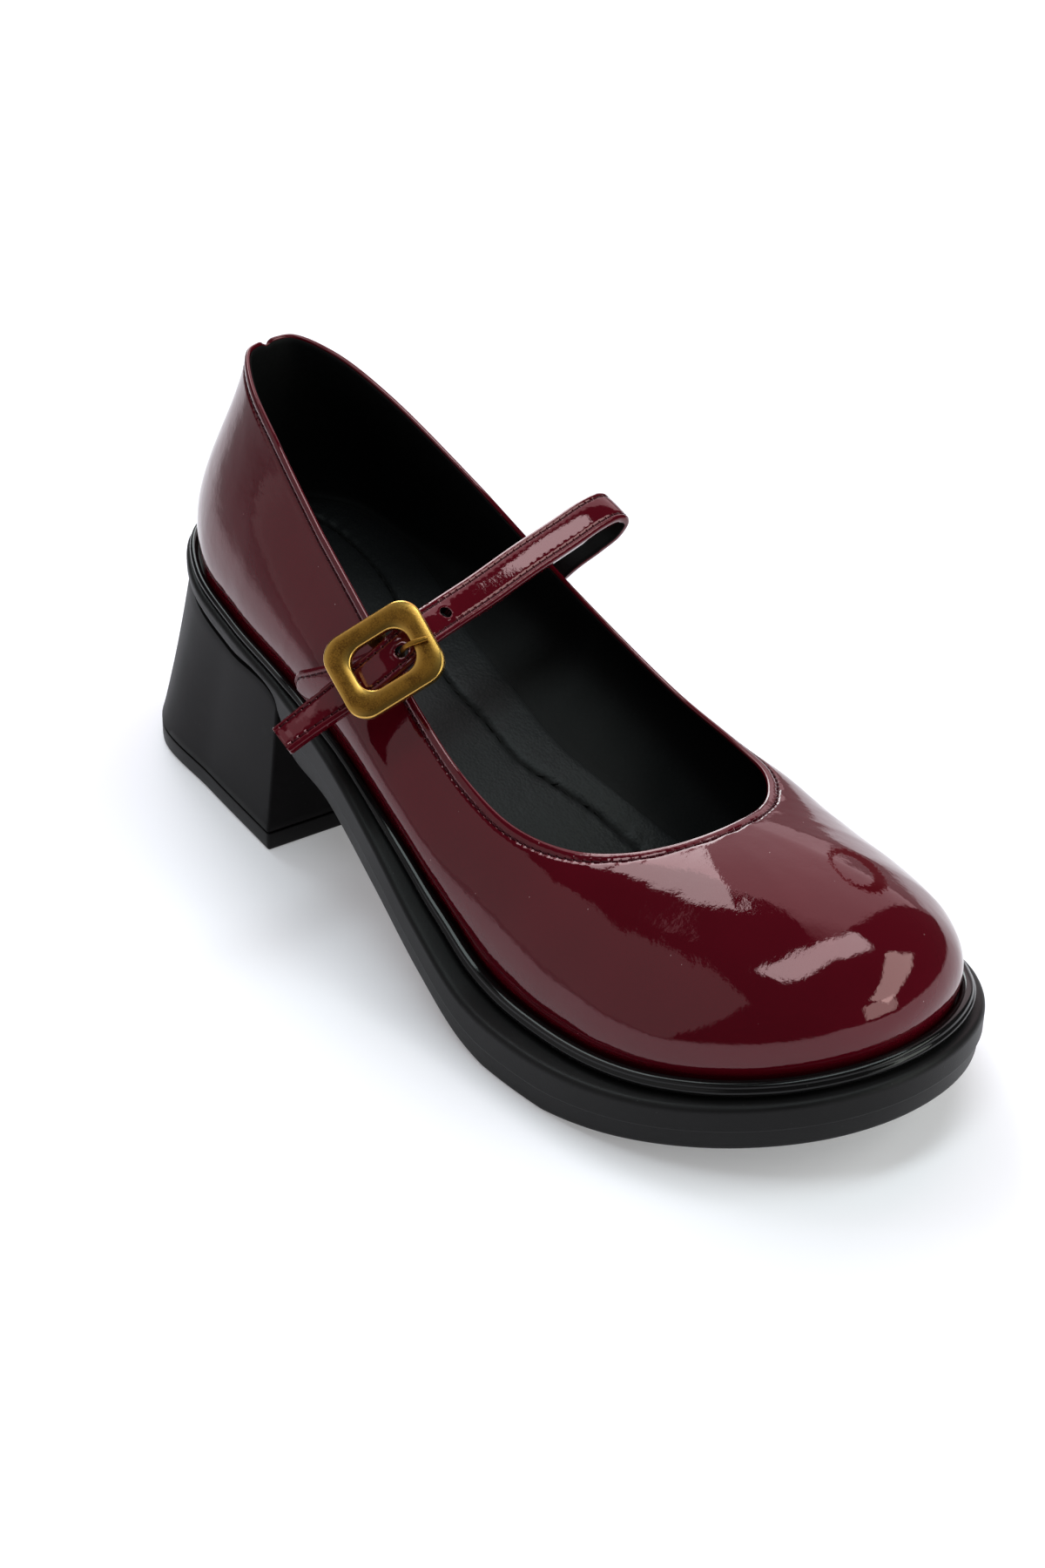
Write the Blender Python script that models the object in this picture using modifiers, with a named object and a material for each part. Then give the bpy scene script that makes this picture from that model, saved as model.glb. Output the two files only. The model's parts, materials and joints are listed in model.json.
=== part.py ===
"""Mary jane shoe, right foot: block heel, ledge sole, one buckled strap.

Toe points to +X, the buckle (outer) side to -Y, the floor is z = 0. Tables are in millimetres,
measured from the back of the sole ledge and from the line that runs from heel to toe.
"""
import math
from collections import namedtuple

import bpy
import numpy as np
from mathutils import Matrix, Vector

MM = 0.001
GAP = 0.3                  # running gap between pieces that touch
PER_ROW = 3                # mesh stations from one section row to the next

WALL = 1.8                 # upper: patent leather with its lining
SKIRT = 3.0                # height of the rolled bead beside the upper
BEAD_RADIUS = 1.25
LEDGE_ROUND = 1.4
SIDE_STEP = 0.6            # the lower half of the sole side sits back by this much
SOLE_INSET = 0.9
INSOLE_THICK = 2.4
TOP_PIECE = 5.0
HEEL_INSET = 0.8
TREAD_FLAT = 0.6           # worn-in depth of the flat spot under the ball of the foot
EYE_RADIUS = 1.5

STRAP_WIDTH = 9.2
STRAP_THICK = 2.0
TAB_WIDTH = 9.2
TAB_THICK = 1.2

BUCKLE_LENGTH = 25.6       # along the strap
BUCKLE_WIDTH = 21.6
BUCKLE_BAND = 5.2
BUCKLE_SKEW = 0.15         # the frame lies turned a little on the strap, towards the toe
BUCKLE_THICK = 2.0
BAR_RADIUS = 1.0
PRONG_RADIUS = 0.6

# One row for each section of the sole, heel to toe; lat = outer side, med = inner side.
Sole = namedtuple("Sole", "x_lat y_lat x_med y_med ledge bottom rim_lat rim_med")
SOLE = (
    Sole(-0.4, -5.0, -0.4, 4.5, 57.5, 52.0, 3.4, 3.4),       # back of the heel
    Sole(3.4, -16.0, 3.4, 14.5, 57.2, 51.7, 3.4, 3.4),
    Sole(20.0, -28.0, 20.0, 28.5, 55.7, 50.2, 3.4, 3.4),
    Sole(42.0, -34.0, 42.0, 31.0, 53.2, 47.7, 3.4, 3.4),
    Sole(66.0, -37.5, 76.0, 31.0, 49.7, 44.2, 3.6, 3.4),   # heel breast
    Sole(69.0, -38.0, 79.0, 31.0, 49.0, 36.0, 3.8, 3.4),
    Sole(92.0, -42.5, 97.0, 30.5, 44.0, 30.8, 5.0, 4.0),   # waist
    Sole(115.0, -47.5, 117.0, 32.5, 35.2, 21.5, 6.5, 5.0),
    Sole(136.0, -51.5, 137.0, 38.0, 24.0, 10.8, 8.5, 6.5),
    Sole(155.0, -54.0, 155.0, 42.5, 15.2, 2.2, 9.6, 7.6),  # ball
    Sole(175.0, -54.8, 175.0, 46.8, 13.6, 0.0, 9.6, 8.0),
    Sole(195.0, -53.0, 195.0, 48.2, 15.0, 2.4, 8.6, 7.8),
    Sole(213.0, -47.5, 213.0, 45.5, 17.8, 6.0, 7.6, 7.2),
    Sole(230.0, -37.0, 230.0, 38.0, 21.6, 9.8, 6.8, 6.8),
    Sole(243.0, -22.5, 243.0, 25.5, 25.0, 13.0, 6.6, 6.6),
    Sole(249.5, -7.0, 249.5, 10.0, 27.0, 15.0, 6.6, 6.6),  # toe
)
BREAST_ROW = 4

# The same sections on the upper: its top edge, then how the wall gets there from the sole.
# rise and lean lead the wall up and out at its foot, reach and fall bring it to the top edge.
Upper = namedtuple("Upper", "x_lat y_lat x_med y_med z rise lean reach_lat reach_med fall")
UPPER = (
    Upper(16.5, -2.5, 16.5, 2.5, 112.0, 16.0, 2.5, 2.0, 2.0, 16.0),
    Upper(18.5, -7.0, 18.5, 7.5, 112.0, 16.0, 2.5, 2.5, 2.5, 16.0),
    Upper(29.0, -14.0, 29.0, 12.6, 109.4, 16.0, 3.0, 4.0, 4.0, 17.0),
    Upper(46.0, -19.6, 46.0, 16.4, 102.8, 15.0, 3.5, 5.0, 5.0, 17.0),
    Upper(69.0, -24.0, 74.0, 20.8, 88.5, 13.0, 3.5, 4.5, 4.5, 14.0),
    Upper(72.0, -24.5, 77.0, 21.3, 86.8, 13.0, 3.5, 4.5, 4.5, 14.0),
    Upper(94.0, -28.0, 96.0, 25.2, 74.5, 11.0, 3.5, 4.0, 4.0, 11.0),
    Upper(114.0, -30.8, 117.0, 28.6, 63.0, 10.0, 4.0, 4.5, 4.5, 9.0),
    Upper(132.0, -32.4, 137.0, 30.5, 54.6, 10.0, 4.5, 5.5, 6.0, 7.0),
    Upper(149.0, -32.0, 155.0, 31.0, 50.2, 11.0, 5.0, 8.0, 9.0, 5.0),
    Upper(163.0, -27.5, 168.0, 28.2, 49.4, 12.0, 5.5, 10.0, 13.0, 3.0),
    Upper(172.5, -20.5, 176.5, 21.0, 50.6, 14.0, 5.5, 13.0, 18.0, 1.0),
    Upper(178.5, -12.5, 180.8, 14.0, 52.2, 16.0, 5.5, 19.0, 26.0, -1.0),
    Upper(181.6, -6.0, 182.6, 8.6, 53.4, 18.0, 5.5, 28.0, 34.0, -3.0),
    Upper(182.9, -1.4, 183.2, 5.0, 54.0, 19.0, 5.5, 37.0, 40.0, -4.0),
    Upper(183.3, 0.8, 183.4, 2.8, 54.2, 19.0, 5.5, 41.0, 42.0, -4.0),
)
UPPER_STEPS = 11

# Floor outline of the heel for the first rows of the sole, as far as the breast.
Heel = namedtuple("Heel", "x_lat y_lat x_med y_med")
HEEL = (
    Heel(-10.0, -6.0, -10.0, 5.0),
    Heel(-6.6, -16.8, -6.6, 16.2),
    Heel(6.0, -29.5, 6.0, 28.5),
    Heel(33.0, -34.5, 33.0, 31.5),
    Heel(64.0, -39.2, 75.0, 32.8),
)

# Middle line of the strap from the inner side of the sole, over the instep, through the buckle,
# to its free end; then of the tab from its sewn end to the buckle bar. The tilt is the angle
# by which the front edge of the strap hangs below its back edge.
Way = namedtuple("Way", "x y z tilt")
STRAP = (
    Way(77.5, 30.2, 55.0, 0.0),     # sewn in at the foot of the quarter
    Way(81.5, 31.6, 59.5, 0.0),
    Way(86.5, 32.2, 64.5, 0.0),
    Way(92.0, 33.6, 70.8, 2.0),
    Way(96.2, 37.8, 76.3, 8.0),
    Way(99.0, 41.2, 80.7, 14.0),
    Way(100.5, 42.0, 84.5, 18.0),   # turns over
    Way(101.0, 39.0, 86.8, 22.0),
    Way(101.5, 33.0, 87.0, 25.0),
    Way(102.0, 24.0, 85.5, 27.0),
    Way(102.5, 10.0, 83.0, 27.0),
    Way(104.0, -4.0, 81.0, 27.0),
    Way(105.5, -16.0, 80.0, 27.0),
    Way(108.0, -26.5, 80.0, 27.0),
    Way(107.2, -35.4, 75.4, 27.0),  # middle of the buckle
    Way(102.0, -43.4, 67.6, 16.0),
    Way(98.6, -51.0, 62.0, 4.0),
    Way(96.6, -58.0, 57.8, 0.0),    # free end
)
BUCKLE_ROW = 14
STRAP_STEPS = 3
TAB = (
    Way(78.5, -38.8, 55.4, 0.0),
    Way(84.0, -39.3, 58.6, 0.0),
    Way(89.5, -38.9, 61.9, 0.0),
    Way(97.0, -37.2, 66.6, 0.0),
)
TAB_SIDE = np.array([-1.0, -0.2, 0.9])     # across the tab where it is sewn to the quarter
PRONG_PLACE = 4.3              # from the bar to where the prong comes up through the strap
SPARE_PLACE = 20.0             # from the middle of the buckle to the spare hole


def material(name, colour, rough, metal=0.0, coat=0.0):
    mat = bpy.data.materials.new(name)
    mat.use_nodes = True
    shader = mat.node_tree.nodes["Principled BSDF"]
    shader.inputs["Base Color"].default_value = (*colour, 1.0)
    shader.inputs["Roughness"].default_value = rough
    shader.inputs["Metallic"].default_value = metal
    shader.inputs["Coat Weight"].default_value = coat
    return mat


def through(four, spans, share):
    """Point of the smooth curve between the second and third of four knots."""
    marks = [0.0, spans[0], spans[0] + spans[1], sum(spans)]
    x = marks[1] + share * spans[1]

    def mix(a, b, low, high):
        return (a * (marks[high] - x) + b * (x - marks[low])) / (marks[high] - marks[low])

    first, middle, last = (mix(four[k], four[k + 1], k, k + 1) for k in range(3))
    return mix(mix(first, middle, 0, 2), mix(middle, last, 1, 3), 1, 2)


def closed_curve(knots, places, per=PER_ROW):
    """Smooth closed curve through the knots; places (points in space) set how far apart they are."""
    count = len(knots)
    spans = np.sqrt(np.linalg.norm(np.roll(places, -1, axis=0) - places, axis=1))
    rows = []
    for k in range(count):
        four = [knots[(k + step) % count] for step in (-1, 0, 1, 2)]
        ways = [spans[(k + step) % count] for step in (-1, 0, 1)]
        rows += [through(four, ways, t / per) for t in range(per)]
    return np.array(rows)


def open_curve(knots, per):
    """Smooth open curve through the knots."""
    ends = np.array([2 * knots[0] - knots[1], *knots, 2 * knots[-1] - knots[-2]])
    spans = np.sqrt(np.linalg.norm(np.diff(ends, axis=0), axis=1))
    rows = []
    for k in range(len(knots) - 1):
        rows += [through(ends[k:k + 4], spans[k:k + 3], t / per) for t in range(per)]
    return np.array([*rows, knots[-1]])


def around(table, lat, med, places=None):
    """Columns of the outer side heel to toe, then of the inner side toe to heel, as one loop."""
    outer = [[getattr(row, name) for name in lat] for row in table]
    inner = [[getattr(row, name) for name in med] for row in reversed(table)]
    knots = np.array(outer + inner)
    return closed_curve(knots, knots if places is None else places)


def sole_places():
    outer = [(row.x_lat, row.y_lat) for row in SOLE]
    return np.array(outer + [(row.x_med, row.y_med) for row in reversed(SOLE)])


def plan_normals(loop):
    along = np.roll(loop, -1, axis=0) - np.roll(loop, 1, axis=0)
    out = np.stack([along[:, 1], -along[:, 0], np.zeros(len(loop))], axis=1)
    return out / np.linalg.norm(out, axis=1)[:, None]


def at_height(loop, z):
    return np.column_stack([loop[:, 0], loop[:, 1], z])


def add_mesh(name, points, faces, mat, collection):
    mesh = bpy.data.meshes.new(name)
    mesh.from_pydata([tuple(p * MM) for p in points], [], faces)
    mesh.materials.append(mat)
    mesh.polygons.foreach_set("use_smooth", [True] * len(mesh.polygons))
    mesh.update()
    piece = bpy.data.objects.new(name, mesh)
    collection.objects.link(piece)
    return piece


def wall_faces(count, rings):
    faces = []
    for ring in range(rings - 1):
        low = ring * count
        for i in range(count):
            j = (i + 1) % count
            faces.append((low + i, low + j, low + count + j, low + count + i))
    return faces


def strip_cap(start, count, first, upward):
    """Close a ring with strips that join each outer station to the inner one across from it."""
    faces = []
    for step in range(count // 2 - 1):
        a = (first + step) % count
        b = (first + step + 1) % count
        c = (first - 2 - step) % count
        d = (first - 1 - step) % count
        face = (start + a, start + b, start + c, start + d)
        faces.append(face if upward else face[::-1])
    return faces


def loft(name, rings, mat, collection, first=-1):
    """Closed solid through rings that go up, with strips across its two ends."""
    count = len(rings[0])
    faces = wall_faces(count, len(rings))
    faces += strip_cap(0, count, first, False)
    faces += strip_cap((len(rings) - 1) * count, count, first, True)
    return add_mesh(name, np.concatenate(rings), faces, mat, collection)


def sweep(name, centres, sides, ups, profile, mat, collection):
    """Solid bar: the profile (side, up) carried along the centres, ends closed."""
    rings = []
    for centre, side, up in zip(centres, sides, ups):
        rings.append(centre + np.outer(profile[:, 0], side) + np.outer(profile[:, 1], up))
    count = len(profile)
    faces = wall_faces(count, len(rings))
    faces.append(tuple(range(count - 1, -1, -1)))
    faces.append(tuple((len(rings) - 1) * count + i for i in range(count)))
    return add_mesh(name, np.concatenate(rings), faces, mat, collection)


def band_profile(width, thick, corner):
    """Flat band with cut corners, drawn counter-clockwise."""
    w, t = width / 2, thick / 2
    return np.array([
        (-w + corner, -t), (w - corner, -t), (w, -t + corner), (w, t - corner),
        (w - corner, t), (-w + corner, t), (-w, t - corner), (-w, -t + corner),
    ])


def circle(radius, count):
    angles = [2 * math.pi * k / count for k in range(count)]
    return np.array([(radius * math.cos(a), radius * math.sin(a)) for a in angles])


def unit(v):
    return v / np.linalg.norm(v)


def strap_frames(centres, tilts):
    """Direction across the strap (towards the toe) and away from the foot, at each station."""
    along = np.gradient(centres, axis=0)
    sides, ups = [], []
    for t, tilt in zip(along, np.radians(tilts)):
        side = np.array([math.cos(tilt), 0.0, -math.sin(tilt)])
        side = unit(side - t * np.dot(side, t) / np.dot(t, t))
        sides.append(side)
        ups.append(unit(np.cross(side, t)) * -1.0)
    return np.array(sides), np.array(ups)


def sole_loops():
    outline = around(SOLE, ("x_lat", "y_lat"), ("x_med", "y_med"))
    heights = around(SOLE, ("ledge", "bottom", "rim_lat"), ("ledge", "bottom", "rim_med"), sole_places())
    ledge, bottom, rim = heights.T
    return outline, plan_normals(outline), ledge, np.maximum(bottom - TREAD_FLAT, 0.0), rim


def offset(outline, normals, distance):
    return outline + normals[:, :2] * np.broadcast_to(distance, len(outline))[:, None]


def build_sole(mats, collection):
    outline, normals, ledge, bottom, rim = sole_loops()
    half = bottom + 0.5 * (ledge - bottom)
    rows = (
        (-SOLE_INSET - 1.2, bottom),
        (-SOLE_INSET, bottom + 1.2),
        (-SIDE_STEP, half - 0.8),
        (0.0, half),
        (0.0, ledge - LEDGE_ROUND),
        (-0.4 * LEDGE_ROUND, ledge - 0.35 * LEDGE_ROUND),
        (-LEDGE_ROUND, ledge),
        (-rim - WALL, ledge),
    )
    rings = [at_height(offset(outline, normals, out), z) for out, z in rows]
    loft("outsole", rings, mats["rubber"], collection)

    foot = offset(outline, normals, -rim)
    centre = at_height(offset(foot, normals, GAP + BEAD_RADIUS + 0.2), ledge + GAP + BEAD_RADIUS)
    points = []
    for side, up in circle(BEAD_RADIUS, 7):
        points.append(centre + normals * side + np.array([0.0, 0.0, up]))
    count = len(centre)
    faces = wall_faces(count, 7)
    faces += [(6 * count + i, 6 * count + (i + 1) % count, (i + 1) % count, i) for i in range(count)]
    add_mesh("welt_bead", np.concatenate(points), faces, mats["bead"], collection)

    inner = offset(outline, normals, -rim - WALL - GAP)
    rows = (
        (0.0, 2 * GAP),
        (0.0, 2 * GAP + 0.7 * INSOLE_THICK),
        (-0.8, 2 * GAP + INSOLE_THICK),
    )
    rings = [at_height(offset(inner, normals, out), ledge + z) for out, z in rows]
    loft("insole", rings, mats["insole"], collection)


def build_upper(mats, collection):
    outline, normals, ledge, bottom, rim = sole_loops()
    foot = at_height(offset(outline, normals, -rim), ledge + SKIRT)
    top = around(UPPER, ("x_lat", "y_lat", "z"), ("x_med", "y_med", "z"))
    columns = ("rise", "lean", "reach_lat", "fall"), ("rise", "lean", "reach_med", "fall")
    shape = around(UPPER, *columns, sole_places())
    rise, lean, reach, fall = (column[:, None] for column in shape.T)
    lift = np.array([0.0, 0.0, 1.0])
    low = foot + rise * lift + lean * normals
    high = top + reach * plan_normals(top) - fall * lift
    rings = [at_height(foot[:, :2], ledge + 1.3 * GAP)]
    for step in range(UPPER_STEPS + 1):
        t = step / UPPER_STEPS
        rings.append((1 - t)**3 * foot + 3 * (1 - t)**2 * t * low + 3 * (1 - t) * t**2 * high + t**3 * top)
    faces = wall_faces(len(outline), len(rings))
    upper = add_mesh("upper", np.concatenate(rings), faces, mats["patent"], collection)
    wall = upper.modifiers.new("Wall", "SOLIDIFY")
    wall.thickness = WALL * MM
    wall.offset = -1.0


def build_heel(mats, collection):
    outline, normals, ledge, bottom, rim = sole_loops()
    count = len(outline)
    reach = BREAST_ROW * PER_ROW
    picks = [i % count for i in range(-PER_ROW - reach, reach + 1)]
    top = at_height(offset(outline, normals, -HEEL_INSET), bottom - 1.5 * GAP)[picks]
    outer = [np.array((row.x_lat, row.y_lat)) for row in HEEL]
    inner = [np.array((row.x_med, row.y_med)) for row in reversed(HEEL)]
    floor = open_curve(np.array(inner + outer), PER_ROW)
    foot = np.column_stack([floor, np.zeros(len(floor))])
    normals = np.array([unit(np.array([n[0], n[1], 0.0])) for n in plan_normals(foot)])
    middle = len(foot) // 2

    def between(share, z=None):
        ring = foot * (1 - share) + top * share
        if z is not None:
            ring[:, 2] = z
        return ring

    rings = [between(0.0, TOP_PIECE + GAP) - 0.5 * normals, between(0.0, TOP_PIECE + GAP + 0.6)]
    for share in (0.35, 0.7, 0.97):
        ring = between(share)
        ring[:, 2] = (TOP_PIECE + GAP) * (1 - share) + top[:, 2] * share
        rings.append(ring)
    rings.append(top - 0.8 * normals)
    loft("heel_block", rings, mats["heel"], collection, middle)
    rings = [
        between(0.0, 0.0) - 0.8 * normals,
        between(0.0, 0.8),
        between(0.0, TOP_PIECE - 0.5),
        between(0.0, TOP_PIECE) - 0.5 * normals,
    ]
    loft("heel_top_piece", rings, mats["rubber"], collection, middle)


def strap_line():
    way = open_curve(np.array(STRAP), STRAP_STEPS)
    sides, ups = strap_frames(way[:, :3], way[:, 3])
    return way[:, :3], sides, ups


def buckle_frame():
    """Middle and axes of the buckle: x up the strap, y towards the heel, z away from the foot."""
    centres, sides, ups = strap_line()
    k = BUCKLE_ROW * STRAP_STEPS
    along = unit(centres[k - 2] - centres[k + 2])
    along = unit(along + BUCKLE_SKEW * sides[k])
    across = -unit(sides[k] - along * np.dot(sides[k], along))
    away = np.cross(along, across)
    return centres[k], along, across, away


def in_frame(frame, points):
    return frame[0] + np.asarray(points) @ np.array(frame[1:])


def rounded_rectangle(length, width, corner, per=5):
    points = []
    for quarter in range(4):
        sx, sy = ((1, 1), (-1, 1), (-1, -1), (1, -1))[quarter]
        for k in range(per):
            angle = math.pi / 2 * (quarter + k / (per - 1))
            x = sx * (length / 2 - corner) + corner * math.cos(angle)
            y = sy * (width / 2 - corner) + corner * math.sin(angle)
            points.append((x, y))
    return np.array(points)


def cutter(name, frame, low, high, collection):
    """Box in the buckle frame, used only to cut or to add."""
    (x0, y0, z0), (x1, y1, z1) = low, high
    corners = [(x0, y0), (x1, y0), (x1, y1), (x0, y1)]
    points = in_frame(frame, [(x, y, z) for z in (z0, z1) for x, y in corners])
    faces = wall_faces(4, 2) + [(3, 2, 1, 0), (4, 5, 6, 7)]
    mesh = bpy.data.meshes.new(name)
    mesh.from_pydata([tuple(p * MM) for p in points], [], faces)
    box = bpy.data.objects.new(name, mesh)
    collection.objects.link(box)
    box.hide_render = True
    box.display_type = "WIRE"
    return box


def pin_cutter(name, centre, axis, radius, reach, collection):
    bpy.ops.mesh.primitive_cylinder_add(vertices=12, radius=radius * MM, depth=2 * reach * MM)
    pin = bpy.context.object
    pin.name = name
    turn = Vector((0.0, 0.0, 1.0)).rotation_difference(Vector(axis)).to_matrix().to_4x4()
    pin.data.transform(Matrix.Translation(Vector(centre * MM)) @ turn)
    for owner in list(pin.users_collection):
        owner.objects.unlink(pin)
    collection.objects.link(pin)
    pin.hide_render = True
    pin.display_type = "WIRE"
    return pin


def boolean(piece, tool, operation):
    mod = piece.modifiers.new(tool.name, "BOOLEAN")
    mod.operation = operation
    mod.solver = "EXACT"
    mod.object = tool


def build_strap(mats, collection, tools):
    centres, sides, ups = strap_line()
    profile = band_profile(STRAP_WIDTH, STRAP_THICK, 0.4)
    strap = sweep("strap", centres, sides, ups, profile, mats["patent"], collection)
    strap.modifiers.new("Flat faces", "TRIANGULATE")
    frame = buckle_frame()
    eye = in_frame(frame, [(PRONG_PLACE, 0.0, 0.0)])[0]
    boolean(strap, pin_cutter("prong hole", eye, frame[3], EYE_RADIUS, 2.4, tools), "DIFFERENCE")
    walked = np.concatenate([[0.0], np.cumsum(np.linalg.norm(np.diff(centres, axis=0), axis=1))])
    place = walked[BUCKLE_ROW * STRAP_STEPS] - SPARE_PLACE
    spare = np.array([np.interp(place, walked, column) for column in centres.T])
    up = unit(np.array([np.interp(place, walked, column) for column in ups.T]))
    boolean(strap, pin_cutter("spare hole", spare, up, EYE_RADIUS, 2.4, tools), "DIFFERENCE")


def build_buckle(mats, collection, tools):
    frame = buckle_frame()
    under = STRAP_THICK / 2 + GAP
    outer = rounded_rectangle(BUCKLE_LENGTH, BUCKLE_WIDTH, 5.5)
    inner = rounded_rectangle(BUCKLE_LENGTH - 2 * BUCKLE_BAND, BUCKLE_WIDTH - 2 * BUCKLE_BAND, 4.2)
    rows = (
        (outer, 1.0, under),
        (outer, 1.0, under + 0.6 * BUCKLE_THICK),
        (outer, 0.95, under + BUCKLE_THICK),
        (inner, 1.08, under + BUCKLE_THICK),
        (inner, 1.0, under + 0.7 * BUCKLE_THICK),
        (inner, 1.0, under),
    )
    rings = []
    for loop, scale, z in rows:
        rings.append(in_frame(frame, at_height(loop * scale, np.full(len(loop), z))))
    count = len(outer)
    faces = wall_faces(count, len(rings))
    last = (len(rings) - 1) * count
    faces += [(last + i, last + (i + 1) % count, (i + 1) % count, i) for i in range(count)]
    ring = add_mesh("buckle_frame", np.concatenate(rings), faces, mats["brass"], collection)
    bar_z = -(STRAP_THICK / 2 + TAB_THICK + 4.0 * GAP + BAR_RADIUS)
    low = STRAP_WIDTH / 2 + 2 * GAP + 0.6
    for name, sign in (("front", 1.0), ("back", -1.0)):
        near, far = sorted((sign * low, sign * (low + 2.6)))
        box = cutter(f"buckle lug {name}", frame, (-2.2, near, bar_z - 1.6), (2.2, far, under + 0.7), tools)
        boolean(ring, box, "UNION")

    reach = low - 0.2
    spots = np.linspace(-reach, reach, 3)
    bar = in_frame(frame, [(0.0, y, bar_z) for y in spots])
    centre, along, across, away = frame
    count = len(spots)
    round_bar = circle(BAR_RADIUS, 10)
    sweep("buckle_bar", bar, [away] * count, [along] * count, round_bar, mats["brass"], collection)

    bend = BAR_RADIUS + GAP + PRONG_RADIUS
    turn = (-2.4, -1.8, -1.2, -0.6, 0.0, 0.6)
    path = [(bend * math.cos(a), 0.0, bar_z + bend * math.sin(a)) for a in turn]
    top = under + BUCKLE_THICK + GAP + PRONG_RADIUS
    rise = ((-0.4, -1.5), (0.0, 0.2), (0.9, 1.9), (2.4, top - 0.4), (4.0, top), (6.6, top))
    path += [(PRONG_PLACE + x, -0.24 * max(x, 0.0), z) for x, z in rise]
    centres = in_frame(frame, path)
    steps = np.gradient(centres, axis=0)
    ups = [unit(np.cross(step, across)) for step in steps]
    pin = circle(PRONG_RADIUS, 8)
    sweep("buckle_prong", centres, [across] * len(path), ups, pin, mats["brass"], collection)


def build_tab(mats, collection, tools):
    frame = buckle_frame()
    bar_z = -(STRAP_THICK / 2 + TAB_THICK + 4.0 * GAP + BAR_RADIUS)
    bend = BAR_RADIUS + 1.5 * GAP + TAB_THICK / 2
    angles = (-0.2, 0.4, 1.0, 1.6, 2.2, 2.8)
    turn = [(bend * math.sin(a), 0.0, bar_z + bend * math.cos(a)) for a in angles]
    path = in_frame(frame, turn)
    way = np.array(TAB)[:, :3]
    centres = np.concatenate([open_curve(np.array([*way, path[0]]), 2), path[1:]])
    steps = np.gradient(centres, axis=0)
    sides, ups = [], []
    for step, share in zip(steps, np.linspace(0.0, 2.5, len(steps))):
        across = (1 - min(share, 1.0)) * TAB_SIDE + min(share, 1.0) * frame[2]
        sides.append(unit(across - step * np.dot(across, step) / np.dot(step, step)))
        ups.append(unit(np.cross(step, sides[-1])))
    profile = band_profile(TAB_WIDTH, TAB_THICK, 0.3)
    tab = sweep("buckle_tab", centres, sides, ups, profile, mats["patent"], collection)
    tab.modifiers.new("Flat faces", "TRIANGULATE")
    slot = cutter("prong slot", frame, (-1.6, -1.3, bar_z - 4.0), (4.5, 1.3, bar_z + 3.0), tools)
    boolean(tab, slot, "DIFFERENCE")


def clear_file():
    for item in list(bpy.data.objects):
        bpy.data.objects.remove(item, do_unlink=True)


def centre_on_floor():
    """Put the origin under the middle of the shoe, on the floor."""
    pieces = [item for item in bpy.data.objects if not item.hide_render]
    corners = np.array([corner for piece in pieces for corner in piece.bound_box])
    low, high = corners.min(axis=0), corners.max(axis=0)
    shift = Vector((-(low[0] + high[0]) / 2, -(low[1] + high[1]) / 2, -low[2]))
    for item in bpy.data.objects:
        item.data.transform(Matrix.Translation(shift))


def main():
    clear_file()
    collection = bpy.data.collections.new("mary jane shoe")
    bpy.context.scene.collection.children.link(collection)
    tools = bpy.data.collections.new("cutters")
    bpy.context.scene.collection.children.link(tools)
    mats = {
        "patent": material("burgundy patent", (0.10, 0.008, 0.018), 0.12, coat=1.0),
        "rubber": material("black rubber", (0.012, 0.012, 0.013), 0.6),
        "heel": material("black heel rubber", (0.012, 0.012, 0.013), 0.55),
        "bead": material("black welt", (0.010, 0.010, 0.011), 0.25),
        "insole": material("black lining", (0.015, 0.015, 0.016), 0.6),
        "brass": material("antique brass", (0.42, 0.28, 0.09), 0.35, metal=1.0),
    }
    build_sole(mats, collection)
    build_upper(mats, collection)
    build_heel(mats, collection)
    build_strap(mats, collection, tools)
    build_buckle(mats, collection, tools)
    build_tab(mats, collection, tools)
    bpy.context.view_layer.update()
    centre_on_floor()


main()
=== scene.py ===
# %% [markdown]
# # Dressing a mary jane shoe
#
# The solids of this right shoe are already made: a hollow upper, a ledge sole, a block heel, a
# strap and a buckle. This lesson turns them into glossy patent leather, black rubber, soft
# lining, thread and aged brass. We work the way a shoemaker does, from the big pieces to the
# small ones, and each step prints what it made.

# %% Load the fixed frame
import json
import math
from collections import namedtuple
from contextlib import contextmanager
from functools import partialmethod

import bmesh
import bpy
import numpy as np
from mathutils import Matrix, Vector

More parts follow.
